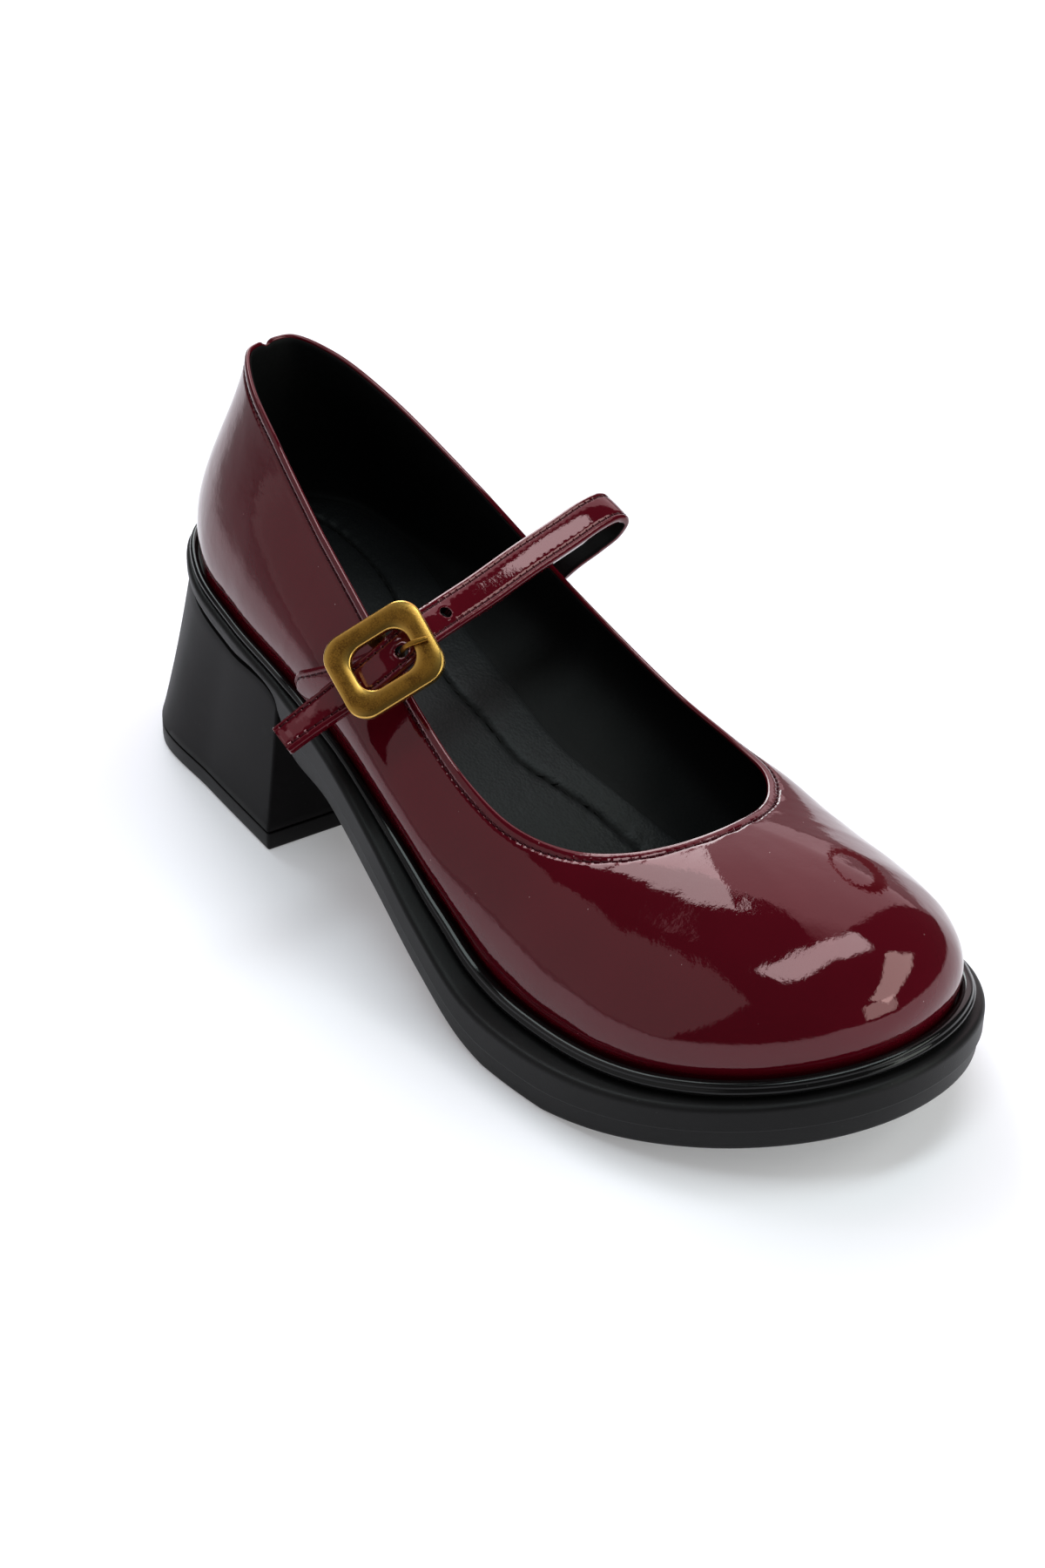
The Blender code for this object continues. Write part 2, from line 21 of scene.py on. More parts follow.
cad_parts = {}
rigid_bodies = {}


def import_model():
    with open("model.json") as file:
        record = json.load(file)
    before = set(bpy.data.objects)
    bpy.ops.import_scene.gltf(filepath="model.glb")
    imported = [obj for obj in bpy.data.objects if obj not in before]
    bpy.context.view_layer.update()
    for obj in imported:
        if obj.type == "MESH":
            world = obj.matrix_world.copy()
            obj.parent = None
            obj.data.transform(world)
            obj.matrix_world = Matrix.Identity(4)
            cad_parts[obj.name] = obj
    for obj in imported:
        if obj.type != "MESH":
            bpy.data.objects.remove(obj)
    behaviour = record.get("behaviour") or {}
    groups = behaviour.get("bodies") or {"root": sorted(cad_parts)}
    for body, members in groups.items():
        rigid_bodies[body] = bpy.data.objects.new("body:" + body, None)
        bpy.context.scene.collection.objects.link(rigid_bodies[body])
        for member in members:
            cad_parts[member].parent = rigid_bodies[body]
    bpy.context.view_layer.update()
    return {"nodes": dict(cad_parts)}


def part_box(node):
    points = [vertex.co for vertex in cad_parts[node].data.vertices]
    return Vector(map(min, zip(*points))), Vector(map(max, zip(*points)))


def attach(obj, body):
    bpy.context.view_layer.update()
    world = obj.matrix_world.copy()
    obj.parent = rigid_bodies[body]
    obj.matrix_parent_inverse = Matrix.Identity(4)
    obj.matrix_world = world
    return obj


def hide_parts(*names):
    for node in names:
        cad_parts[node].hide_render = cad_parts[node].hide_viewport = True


for item in list(bpy.data.objects):
    bpy.data.objects.remove(item)
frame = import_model()
MM = 0.001
print("solids:", sorted(frame["nodes"]))

# %% [markdown]
# ## Hands and tools
#
# Blender's operators act on whatever is selected, so every step begins by deselecting all.
# `take` picks up pieces, `add` makes one from a primitive, and `editing` opens one in edit mode
# with all of it, or the edges that a rule picks, selected. `finished` ends the work on a piece.

# %% Picking up, opening and selecting
def take(*pieces):
    bpy.ops.object.select_all(action="DESELECT")
    for piece in pieces:
        piece.select_set(True)
    bpy.context.view_layer.objects.active = pieces[0]


def add(primitive, **settings):
    """Add one of Blender's primitives with nothing else selected, and hand it over."""
    bpy.ops.object.select_all(action="DESELECT")
    primitive(**settings)
    return bpy.context.object


@contextmanager
def editing(piece, kind="FACE", rule=None):
    """Open a piece in edit mode with all selected, or only the edges that a rule says yes to."""
    take(piece)
    bpy.ops.object.mode_set(mode="EDIT")
    bpy.ops.mesh.select_mode(type=kind)
    bpy.ops.mesh.select_all(action="DESELECT" if rule else "SELECT")
    if rule:
        for edge in filter(rule, bmesh.from_edit_mesh(piece.data).edges):
            edge.select_set(True)
        bmesh.update_edit_mesh(piece.data)
    yield
    bpy.ops.object.mode_set(mode="OBJECT")


def apply_modifier(piece, kind, **settings):
    take(piece)
    step = piece.modifiers.new(kind.title(), kind)
    for name, value in settings.items():
        setattr(step, name, value)
    bpy.ops.object.modifier_apply(modifier=step.name)


def finished(piece, sharp, slot, *nodes):
    """Smooth a piece up to an angle; it rides on the shoe and stands for its solids."""
    take(piece)
    bpy.ops.object.shade_smooth_by_angle(angle=math.radians(sharp))
    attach(piece, "root")
    if nodes:
        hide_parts(*nodes)
    piece.data.calc_loop_triangles()
    size = np.ptp([corner.co for corner in piece.data.vertices], axis=0) / MM
    print(piece.name, len(piece.data.loop_triangles), "triangles,", size.round(1), "mm")


# %% [markdown]
# ## The section rows
#
# A shoe is drawn as sections from heel to toe. These rows are the ones that the solids were made
# from, in millimetres: where the sole, the top edge of the upper, the heel, the strap and the
# tab pass. We repeat them here because a fine piece grows from the same sections as its solid,
# only with more stations between them.

# %% Sections of the sole, upper and heel
Sole = namedtuple("Sole", "x_lat y_lat x_med y_med ledge bottom rim_lat rim_med")
SOLE = [Sole(*row) for row in (
    (-0.4, -5.0, -0.4, 4.5, 57.5, 52.0, 3.4, 3.4),
    (3.4, -16.0, 3.4, 14.5, 57.2, 51.7, 3.4, 3.4),
    (20.0, -28.0, 20.0, 28.5, 55.7, 50.2, 3.4, 3.4),
    (42.0, -34.0, 42.0, 31.0, 53.2, 47.7, 3.4, 3.4),
    (66.0, -37.5, 76.0, 31.0, 49.7, 44.2, 3.6, 3.4),
    (69.0, -38.0, 79.0, 31.0, 49.0, 36.0, 3.8, 3.4),
    (92.0, -42.5, 97.0, 30.5, 44.0, 30.8, 5.0, 4.0),
    (115.0, -47.5, 117.0, 32.5, 35.2, 21.5, 6.5, 5.0),
    (136.0, -51.5, 137.0, 38.0, 24.0, 10.8, 8.5, 6.5),
    (155.0, -54.0, 155.0, 42.5, 15.2, 2.2, 9.6, 7.6),
    (175.0, -54.8, 175.0, 46.8, 13.6, 0.0, 9.6, 8.0),
    (195.0, -53.0, 195.0, 48.2, 15.0, 2.4, 8.6, 7.8),
    (213.0, -47.5, 213.0, 45.5, 17.8, 6.0, 7.6, 7.2),
    (230.0, -37.0, 230.0, 38.0, 21.6, 9.8, 6.8, 6.8),
    (243.0, -22.5, 243.0, 25.5, 25.0, 13.0, 6.6, 6.6),
    (249.5, -7.0, 249.5, 10.0, 27.0, 15.0, 6.6, 6.6),
)]
BREAST_ROW = 4
Upper = namedtuple("Upper", "x_lat y_lat x_med y_med z rise lean reach_lat reach_med fall")
UPPER = [Upper(*row) for row in (
    (16.5, -2.5, 16.5, 2.5, 112.0, 16.0, 2.5, 2.0, 2.0, 16.0),
    (18.5, -7.0, 18.5, 7.5, 112.0, 16.0, 2.5, 2.5, 2.5, 16.0),
    (29.0, -14.0, 29.0, 12.6, 109.4, 16.0, 3.0, 4.0, 4.0, 17.0),
    (46.0, -19.6, 46.0, 16.4, 102.8, 15.0, 3.5, 5.0, 5.0, 17.0),
    (69.0, -24.0, 74.0, 20.8, 88.5, 13.0, 3.5, 4.5, 4.5, 14.0),
    (72.0, -24.5, 77.0, 21.3, 86.8, 13.0, 3.5, 4.5, 4.5, 14.0),
    (94.0, -28.0, 96.0, 25.2, 74.5, 11.0, 3.5, 4.0, 4.0, 11.0),
    (114.0, -30.8, 117.0, 28.6, 63.0, 10.0, 4.0, 4.5, 4.5, 9.0),
    (132.0, -32.4, 137.0, 30.5, 54.6, 10.0, 4.5, 5.5, 6.0, 7.0),
    (149.0, -32.0, 155.0, 31.0, 50.2, 11.0, 5.0, 8.0, 9.0, 5.0),
    (163.0, -27.5, 168.0, 28.2, 49.4, 12.0, 5.5, 10.0, 13.0, 3.0),
    (172.5, -20.5, 176.5, 21.0, 50.6, 14.0, 5.5, 13.0, 18.0, 1.0),
    (178.5, -12.5, 180.8, 14.0, 52.2, 16.0, 5.5, 19.0, 26.0, -1.0),
    (181.6, -6.0, 182.6, 8.6, 53.4, 18.0, 5.5, 28.0, 34.0, -3.0),
    (182.9, -1.4, 183.2, 5.0, 54.0, 19.0, 5.5, 37.0, 40.0, -4.0),
    (183.3, 0.8, 183.4, 2.8, 54.2, 19.0, 5.5, 41.0, 42.0, -4.0),
)]
# The heel at the floor: x and y of the outer side, then of the inner side.
HEEL = (
    (-10.0, -6.0, -10.0, 5.0), (-6.6, -16.8, -6.6, 16.2), (6.0, -29.5, 6.0, 28.5),
    (33.0, -34.5, 33.0, 31.5), (64.0, -39.2, 75.0, 32.8),
)

# %% Middle lines of the strap and the tab
# The strap, from the inner side over the foot to its free end: x, y, z and its tilt in degrees.
STRAP = (
    (77.5, 30.2, 55.0, 0.0), (81.5, 31.6, 59.5, 0.0), (86.5, 32.2, 64.5, 0.0),
    (92.0, 33.6, 70.8, 2.0), (96.2, 37.8, 76.3, 8.0), (99.0, 41.2, 80.7, 14.0),
    (100.5, 42.0, 84.5, 18.0), (101.0, 39.0, 86.8, 22.0), (101.5, 33.0, 87.0, 25.0),
    (102.0, 24.0, 85.5, 27.0), (102.5, 10.0, 83.0, 27.0), (104.0, -4.0, 81.0, 27.0),
    (105.5, -16.0, 80.0, 27.0), (108.0, -26.5, 80.0, 27.0), (107.2, -35.4, 75.4, 27.0),
    (102.0, -43.4, 67.6, 16.0), (98.6, -51.0, 62.0, 4.0), (96.6, -58.0, 57.8, 0.0),
)
BUCKLE_ROW = 14
TAB = ((78.5, -38.8, 55.4), (84.0, -39.3, 58.6), (89.5, -38.9, 61.9), (97.0, -37.2, 66.6))
TAB_SIDE = np.array([-1.0, -0.2, 0.9])

# %% [markdown]
# ## Curves through the sections
#
# The sections are joined by smooth curves that slow down where sections lie close together, so
# that no curve overshoots. A loop runs along the outer side from heel to toe, then back along
# the inner side, with `FINE` stations from one section to the next.

# %% Smooth curves and loops
FINE = 15


def through(four, spans, share):
    """Point of the smooth curve between the second and third of four knots."""
    marks = [0.0, spans[0], spans[0] + spans[1], sum(spans)]
    x = marks[1] + share * spans[1]

    def mix(a, b, low, high):
        return (a * (marks[high] - x) + b * (x - marks[low])) / (marks[high] - marks[low])

    first, middle, last = (mix(four[k], four[k + 1], k, k + 1) for k in range(3))
    return mix(mix(first, middle, 0, 2), mix(middle, last, 1, 3), 1, 2)


def all_through(knots, places, per):
    """Smooth curve through all knots but the first and last, spaced by the places' distances."""
    spans = np.sqrt(size_of(np.diff(places, axis=0)))
    rows = []
    for k in range(len(spans) - 2):
        rows += [through(knots[k:k + 4], spans[k:k + 3], t / per) for t in range(per)]
    return rows


def closed_curve(knots, places, per):
    order = np.arange(-1, len(knots) + 2) % len(knots)
    return np.array(all_through(knots[order], places[order], per))


def open_curve(knots, per):
    ends = np.array([2 * knots[0] - knots[1], *knots, 2 * knots[-1] - knots[-2]])
    return np.array([*all_through(ends, ends, per), knots[-1]])


def around(table, lat, med, places=None, per=FINE):
    """Columns of the outer side heel to toe, then of the inner side toe to heel, as one loop."""
    outer = [[getattr(row, name) for name in lat] for row in table]
    inner = [[getattr(row, name) for name in med] for row in reversed(table)]
    knots = np.array(outer + inner)
    return closed_curve(knots, knots if places is None else places, per)


def bezier(a, b, c, d, t):
    """Point of the curve from a to d that b and c pull at."""
    return (1 - t)**3 * a + 3 * (1 - t)**2 * t * b + 3 * (1 - t) * t**2 * c + t**3 * d


def size_of(v):
    return np.linalg.norm(v, axis=-1)


def unit(v):
    return v / size_of(v)[..., None]


def plan_normals(loop):
    along = np.roll(loop, -1, axis=0) - np.roll(loop, 1, axis=0)
    return unit(np.stack([along[:, 1], -along[:, 0], np.zeros(len(loop))], axis=1))


def at_height(loop, z):
    return np.column_stack([loop[:, 0], loop[:, 1], np.broadcast_to(z, len(loop))])


def bell(x, width):
    return np.exp(-(x / width) ** 2)


# %% The sole's own loops
LAT, MED = ("x_lat", "y_lat"), ("x_med", "y_med")
sole_places = np.array([row[:2] for row in SOLE] + [row[2:4] for row in reversed(SOLE)])
outline = around(SOLE, LAT, MED)
heights = ("ledge", "bottom", "rim_lat"), ("ledge", "bottom", "rim_med")
ledge, bottom, rim = around(SOLE, *heights, sole_places).T
TREAD_FLAT = 0.6
bottom = np.maximum(bottom - TREAD_FLAT, 0.0)
out = plan_normals(outline)
COUNT = len(outline)
LIFT = np.array([0.0, 0.0, 1.0])
coarse = around(SOLE, LAT, MED, per=3)
SHIFT = np.append(np.array(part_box("outsole")[0])[:2] / MM - coarse.min(axis=0), 0.0)
print(COUNT, "stations; sections move by", SHIFT.round(2), "mm to the middle of the box")


def inset(distance):
    """The sole's outline moved outwards (or inwards, below zero), in plan."""
    return outline + out[:, :2] * np.broadcast_to(distance, COUNT)[:, None]


# %% [markdown]
# ## Laying a sheet on the last
#
# Leather comes as a flat sheet and is pulled over a last. We do the same: a flat grid is added
# with one line of corners for each row of a section surface, then its corners are laid on those
# rows. A sheet that closes on itself has its meeting edges merged, as a seam closes a tube.

# %% Lay a grid on rows of points
def lay(name, rows, closed=True, ring=False, **marks):
    """A fine grid laid on rows of points; closed joins each row's ends, ring the rows' ends.

    Each of the marks is a number for every point, kept on the piece for its finish."""

    def ends_met(grid):
        grid = np.asarray(grid, float)
        if closed:
            grid = np.concatenate([grid, grid[:, :1]], axis=1)
        if ring:
            grid = np.concatenate([grid, grid[:1]], axis=0)
        return grid

    rows = ends_met(rows)
    high, wide = rows.shape[0] - 1, rows.shape[1] - 1
    piece = add(bpy.ops.mesh.primitive_grid_add, x_subdivisions=wide, y_subdivisions=high, size=1.0)
    piece.name = piece.data.name = name
    piece.data.vertices.foreach_set("co", ((rows + SHIFT) * MM).ravel())
    for mark, values in marks.items():
        layer = piece.data.attributes.new(mark, "FLOAT", "POINT")
        layer.data.foreach_set("value", ends_met(values).ravel())
    piece.data.update()
    with editing(piece, "VERT"):
        bpy.ops.mesh.remove_doubles(threshold=0.0001 * MM)
    return piece


def zipped(ring, shares, partner_sum):
    """Rows that close a ring towards its middle line, like a zip."""
    other = ring[(partner_sum - np.arange(len(ring))) % len(ring)]
    middle = (ring + other) / 2
    return [ring + (middle - ring) * share for share in shares]


# %% [markdown]
# ## Thread
#
# A stitch is a short, rounded bar of thread that dips into the leather at both ends. We model
# one: a small cylinder with bevelled ends. To sew, copies of it, each with its own mesh, are set
# along lines and joined, because a row of stitches is one thread.

# %% Model one stitch and set rows of them
def bevel_ends(piece, axis, width, segments):
    """Bevel the edges that lie square to an axis (0 is x, 1 is y, 2 is z)."""

    def square(edge):
        return abs(edge.verts[0].co[axis] - edge.verts[1].co[axis]) < 0.01 * MM

    with editing(piece, "EDGE", square):
        bpy.ops.mesh.bevel(offset=width * MM, segments=segments)


def stitch(length, radius):
    size = {"radius": radius * MM, "depth": length * MM}
    piece = add(bpy.ops.mesh.primitive_cylinder_add, vertices=6, **size)
    bevel_ends(piece, 2, 0.6 * radius, 1)
    return piece


def sew(name, slot, length, radius, *rows):
    """Copies of one stitch, each turned to a frame (place, along, away) of the rows; joined."""
    model = stitch(length, radius)
    made = []
    for place, along, away in sum(rows, []):
        side = unit(np.cross(away, along))
        turn = np.eye(4)
        turn[:3, :3] = np.column_stack([side, np.cross(along, side), along])
        turn[:3, 3] = (place + SHIFT) * MM
        copy = bpy.data.objects.new(name, model.data.copy())
        copy.data.transform(Matrix(turn))
        bpy.context.scene.collection.objects.link(copy)
        made.append(copy)
    take(*made)
    bpy.ops.object.join()
    bpy.data.objects.remove(model)
    made[0].name = name
    finished(made[0], 60, slot)
    return made[0]


def walk_along(points):
    """Distance walked to each point of a line, or of many lines side by side."""
    steps = size_of(np.diff(points, axis=0))
    return np.concatenate([0 * steps[:1], np.cumsum(steps, axis=0)])


def at_walk(places, walked, values):
    """Values of a line at places that are given as distances walked."""
    return np.stack([np.interp(places, walked, column) for column in values.T], axis=-1)


def stitch_count(walked, pitch, start=0.0, end=0.0):
    """Stitches walked at each point, as a number that is whole at each needle hole."""
    length = walked[-1] - start - end
    return (walked - start) / length * max(int(length / pitch), 1)


def along_line(points, aways, pitch, start=0.0, end=0.0):
    """Frames at an even pitch along a line of points."""
    walked = walk_along(points)
    counted = stitch_count(walked, pitch, start, end)
    count = int(round(np.interp(walked[-1] - end, walked, counted)))
    places = np.interp(np.arange(count) + 0.5, counted, walked)
    ahead = at_walk(places + 0.2, walked, points) - at_walk(places - 0.2, walked, points)
    point, away = (at_walk(places, walked, values) for values in (points, aways))
    return list(zip(point, unit(ahead), unit(away)))


# %% [markdown]
# ## The upper
#
# The upper is one skin of patent leather. Its wall leaves the sole, bulges over the last and
# comes in to the top edge, where the leather is turned over and stitched down 2.7 mm below. We
# compute the wall densely from foot to top edge, then space its rows by their true distance from
# the top edge, close together near the edge, because the stitching groove lives there.

# %% The bare wall of the upper
FOOT_UP, BARE_ROWS = 3.0, 241
foot = at_height(inset(-rim), ledge + FOOT_UP)
top_edge = around(UPPER, ("x_lat", "y_lat", "z"), ("x_med", "y_med", "z"))
pulls = ("rise", "lean", "reach_lat", "fall"), ("rise", "lean", "reach_med", "fall")
rise, lean, reach, fall = around(UPPER, *pulls, sole_places).T[..., None]
low = foot + rise * LIFT + lean * out
high = top_edge + reach * plan_normals(top_edge) - fall * LIFT
way_up = np.linspace(1.0, 0.0, BARE_ROWS)[:, None, None]
bare = bezier(foot, low, high, top_edge, way_up)
gone = walk_along(bare)
depth_of_wall = gone[-1]


def wall(distances):
    """Points of the wall at distances down from the top edge: rows of (COUNT,) distances."""
    columns = [at_walk(distances[:, k], gone[:, k], bare[:, k]) for k in range(COUNT)]
    return np.stack(columns, axis=1)


def sheet_normals(rows):
    """Outward normals of rows that go down from the top edge."""
    across = np.roll(rows, -1, axis=1) - np.roll(rows, 1, axis=1)
    down = np.gradient(rows, axis=0)
    return unit(np.cross(down, across))


EDGE_ROWS, ROW_STEP, WALL_ROWS = 19, 0.3, 91
near = np.arange(EDGE_ROWS)[:, None] * ROW_STEP * np.ones(COUNT)
share = np.linspace(0.0, 1.0, WALL_ROWS + 1)[1:, None]
distances = np.concatenate([near, near[-1] + share * (depth_of_wall - near[-1])])
skin = wall(distances)
away = sheet_normals(skin)
print("wall from", depth_of_wall.min().round(1), "to", depth_of_wall.max().round(1), "mm deep")

# %% [markdown]
# ### Pressing the details into the skin
#
# Each detail is a small push along the skin's normal: the groove that the stitches pull, the
# puckers along it, the back seam, the ripples where the leather is drawn over the edge of the
# sole, and a little unevenness all over. The top edge also dips a little at the back seam. On
# glossy leather a tenth of a millimetre shows, because it bends the reflections.

# %% Stitch line, seam and ripples
SEAM_DEPTH = 2.7
STITCH_PITCH = 2.1
edge_walk = walk_along(top_edge)
throat = bell(top_edge[:, 0] - 184.0, 28.0)
back_column = COUNT - (FINE + 1) // 2


def from_back(sheet):
    """Distance of each point of a sheet from the sheet's back seam."""
    return size_of(sheet - sheet[:, back_column:back_column + 1])


def back_dip(sheet, down):
    """Drop of the top edge at the back seam; it dies away down the wall."""
    return 1.3 * bell(from_back(sheet), 1.3) * np.exp(-down / 2.5)


def wavy(walk, wave, bend, bend_wave):
    """A wave along a walk, drawn out and pushed together by a slower one."""
    return np.sin(walk / wave + bend * np.sin(walk / bend_wave))


def uneven(points):
    """Slow waves in space, like leather that is not quite flat."""
    x, y, z = np.moveaxis(points, -1, 0)
    over_x = np.sin(x / 5.3 + 1.3 * np.sin(y / 9.1))
    over_y = np.sin(y / 4.7 + 1.1 * np.sin(z / 7.3) + x / 11.0)
    over_z = np.sin(z / 6.1 + x / 8.7 + 0.8 * np.sin(y / 6.3))
    return (over_x + over_y + over_z) / 3.0


BACK_DEEP, GROOVE_DEEP, SEAM_WIDE = 0.50, 0.30, 0.55
EDGE_SWELL, RIPPLE, UNEVEN = 0.14, 0.07, 0.055
back_seam = BACK_DEEP * bell(from_back(skin), SEAM_WIDE)
groove = GROOVE_DEEP * bell(distances - SEAM_DEPTH, SEAM_WIDE)
soft_edge = EDGE_SWELL * bell(distances - 1.3, 0.8)
pucker = wavy(edge_walk, 1.3, 1.5, 4.1) * bell(distances - SEAM_DEPTH - 0.4, 1.1)
foot_walk = np.cumsum(size_of(np.roll(foot, -1, axis=0) - foot))
ripple = wavy(foot_walk, 2.9, 2.0, 17.0) * (0.6 + 0.4 * np.sin(foot_walk / 23.0))
ripple = ripple * np.exp(-np.maximum(depth_of_wall - distances, 0.0) / 3.5)
push = soft_edge - groove - (0.02 + 0.06 * throat) * pucker - back_seam + RIPPLE * ripple
push += UNEVEN * uneven(skin) * np.minimum(distances / 6.0, 1.0)
dip = back_dip(skin, distances)
print("details push the skin by", push.min().round(2), "to", push.max().round(2), "mm")
skin = skin + push[..., None] * away
skin[..., 2] -= dip

# %% [markdown]
# ### Turning the top edge over
#
# The skin continues over the top edge in a half round and down the inside, then back to its foot
# behind the lining. So the piece is closed, like a real turned-over edge, and has no bare rim.

# %% Lay the skin
SKIN_THICK = 1.2
FAR = 50.0
TURN_ROW, SEAM_ROW = 2, 9
SKIPPED = 9
away = sheet_normals(skin)
inside = skin - (SKIN_THICK - 1.2 * back_seam)[..., None] * away
centre = (skin[TURN_ROW] + inside[TURN_ROW]) / 2
arms = centre - skin[TURN_ROW]
ups = unit(np.cross(np.cross(skin[TURN_ROW] - skin[TURN_ROW + 2], arms), arms))
ups *= np.sign(np.sum(ups * (skin[0] - skin[TURN_ROW + 2]), axis=1))[:, None]
ups *= size_of(arms)[:, None]
half_turn = np.linspace(0.0, math.pi, 9)[1:-1]
round_edge = [centre - arms * math.cos(a) + ups * math.sin(a) for a in half_turn]
skirt = [at_height(skin[-1], ledge + z) for z in (0.4, 1.7)]
skin_up = skin[:TURN_ROW - 1:-1]
inner_rows = [*inside[TURN_ROW:EDGE_ROWS:3], *inside[EDGE_ROWS::6], inside[-1]]
rows = [*skirt, *skin_up, *round_edge, *inner_rows, at_height(inside[-1], ledge + 0.4)]
sewn_line = wall(np.full((1, COUNT), SEAM_DEPTH))[0] - 0.22 * away[SEAM_ROW]
sewn = (np.arange(COUNT - SKIPPED) + back_column + (SKIPPED + 1) // 2) % COUNT
stitched = np.full((len(rows), COUNT), 0.5)
stitched[:, sewn] = stitch_count(walk_along(sewn_line[sewn]), STITCH_PITCH)
gaps = np.full((len(rows), COUNT), FAR)
gaps[2:2 + len(skin_up)] = distances[:TURN_ROW - 1:-1] - SEAM_DEPTH
gaps[2 + len(skin_up):] = -FAR
upper_skin = lay("upper_skin", rows, ring=True, line_gap=gaps, stitches=stitched)
finished(upper_skin, 60, "patent_leather", "upper")

# %% [markdown]
# ### The stitches of the top edge
#
# Rows of thread follow the groove. The stitches leave out the back seam, where a real upper is
# closed after the edge is stitched.

# %% Set the stitches
frames = along_line(sewn_line[sewn], away[SEAM_ROW][sewn], STITCH_PITCH)
topline_stitches = sew("topline_stitches", "patent_leather", 1.5, 0.24, frames)

# %% [markdown]
# ## The lining
#
# Inside, a soft black lining starts just under the turned edge, follows the wall down, and on
# the inner side of the foot it runs out over the arch to the edge of the insole in a soft
# round. A lining is thinner and looser than the upper, so it gets small folds over the arch.

# %% Lay the lining
INSOLE_TOP, LINING_TOP = 3.0, 0.9
LINING_THICK, LINING_ROWS, ROUND_ROWS = 0.7, 40, 12
WALL_THICK = 1.9
FOLD, LOOSE = 0.22, 0.25
# Gap from wall to insole at each section, along the loop: it is wide at the arch.
INSOLE_GAPS = (0.3, 0.3, 0.5, 0.8, *[1.0] * 16, 1.5, 3.5, 7.0, 12.0, 15.0, 12.8, 11.0, 10.0,
               0.6, 0.3, 0.3, 0.3)
narrow = np.maximum(closed_curve(np.array(INSOLE_GAPS), sole_places, FINE), 0.3)
sock_edge = at_height(inset(-rim - WALL_THICK - LINING_THICK - narrow), ledge)
edge_line = sock_edge + LIFT * INSOLE_TOP
round_high = 2.0 + 0.75 * narrow
share = np.linspace(0.0, 1.0, LINING_ROWS)[:, None]
down = LINING_TOP + share * (depth_of_wall - round_high - LINING_TOP)
lining_wall = wall(down)
lining_wall -= (SKIN_THICK + 0.05) * sheet_normals(lining_wall)
lining_wall[..., 2] -= back_dip(lining_wall, down)
start = lining_wall[-1]
bend_low = start + unit(start - lining_wall[-2]) * (0.75 * round_high)[:, None]
bend_in = edge_line + out * (0.55 * narrow + 0.6)[:, None] + LIFT * (0.05 * narrow)[:, None]
round_steps = np.linspace(0.0, 1.0, ROUND_ROWS + 1)[1:]
fillet = [bezier(start, bend_low, bend_in, edge_line, t) for t in round_steps]
tuck = [edge_line - out - LIFT * 0.5, edge_line - out * 2.0 - LIFT * 1.4]
lining_rows = np.array([*lining_wall, *fillet, *tuck])
lining_normals = sheet_normals(lining_rows)
rows_down = np.arange(len(lining_rows))[:, None]
in_round = bell(rows_down - LINING_ROWS - ROUND_ROWS / 2, 7.0)
over_arch = (outline[:, 1] > 0) * bell(outline[:, 0] - 95.0, 38.0) * in_round
lining_rows -= (FOLD * wavy(foot_walk, 2.1, 1.5, 9.0) * over_arch)[..., None] * lining_normals
loose = LOOSE * uneven(lining_rows * 0.8 + 30.0) * np.minimum(rows_down / 12.0, 1.0)
lining_rows -= (LOOSE + loose)[..., None] * lining_normals
outer_rows = lining_rows + (LINING_THICK * 0.75) * lining_normals
rim_round = (lining_rows[0] + outer_rows[0]) / 2 + 0.25 * unit(lining_rows[0] - lining_rows[2])
lining = lay("lining", [*outer_rows[::-1], rim_round, *lining_rows], ring=True)
finished(lining, 60, "sock_lining")

# %% [markdown]
# ## The insole
#
# The insole is a thin padded board covered in soft black leather. A line of stitching runs round
# it a centimetre inside its edge, and the thread gathers the leather into short puckers. We lay
# a sheet from side to side, press the stitch line into it and give it a thickness.

# %% Lay the insole
first = (COUNT - (FINE - 1) // 2 + np.arange(COUNT // 2)) % COUNT
lat_edge, med_edge = (sock_edge[places][:, None] for places in (first, (-FINE - first) % COUNT))
share = np.linspace(0.0, 1.0, 97)
share = (0.25 - 0.25 * np.cos(math.pi * share) + 0.5 * share)[:, None]
sock = med_edge * share + lat_edge * (1 - share)
SEAM = (
    (150.0, 10.3), (137.0, 6.0), (127.0, 1.2), (116.5, -2.6), (104.0, -2.4), (93.0, -2.4),
    (87.0, -1.3), (75.0, 2.0), (61.5, 5.9), (52.0, 9.3), (45.0, 11.3), (32.5, 12.9), (22.5, 12.4),
    (13.0, 8.5), (9.0, 0.0), (13.0, -9.0), (24.0, -15.0), (40.0, -19.5), (60.0, -22.5),
    (82.0, -25.0), (104.0, -28.5), (126.0, -32.0), (150.0, -34.0), (172.0, -34.0),
)
GATHER_PITCH, GATHER, PAD, SEAM_PRESS, EDGE_PRESS = 4.6, 0.32, 0.6, 0.7, 0.9
seam_line = open_curve(np.array(SEAM), 12)
gaps = size_of(sock[..., :2].reshape(-1, 1, 2) - seam_line)
to_seam = gaps.min(axis=1).reshape(sock.shape[:2])
walk = walk_along(seam_line)[gaps.argmin(axis=1)].reshape(sock.shape[:2])
to_edge = np.minimum(*(size_of((sock - edge)[..., :2]) for edge in (lat_edge, med_edge)))
plump = PAD * (1 - np.exp(-to_seam / 3.0)) - SEAM_PRESS * bell(to_seam, 0.8)
gather = wavy(walk, GATHER_PITCH / (2 * math.pi), 1.2, 11.0) * (1 - bell(to_seam, 0.7))
plump += GATHER * gather * np.exp(-to_seam / 3.2)
plump += 0.10 * uneven(sock * 1.3) - EDGE_PRESS * np.exp(-to_edge / 0.7)
sock[..., 2] += INSOLE_TOP - 0.3 + plump
insole_cover = lay("insole_cover", sock[::-1], closed=False, line_gap=to_seam[::-1])
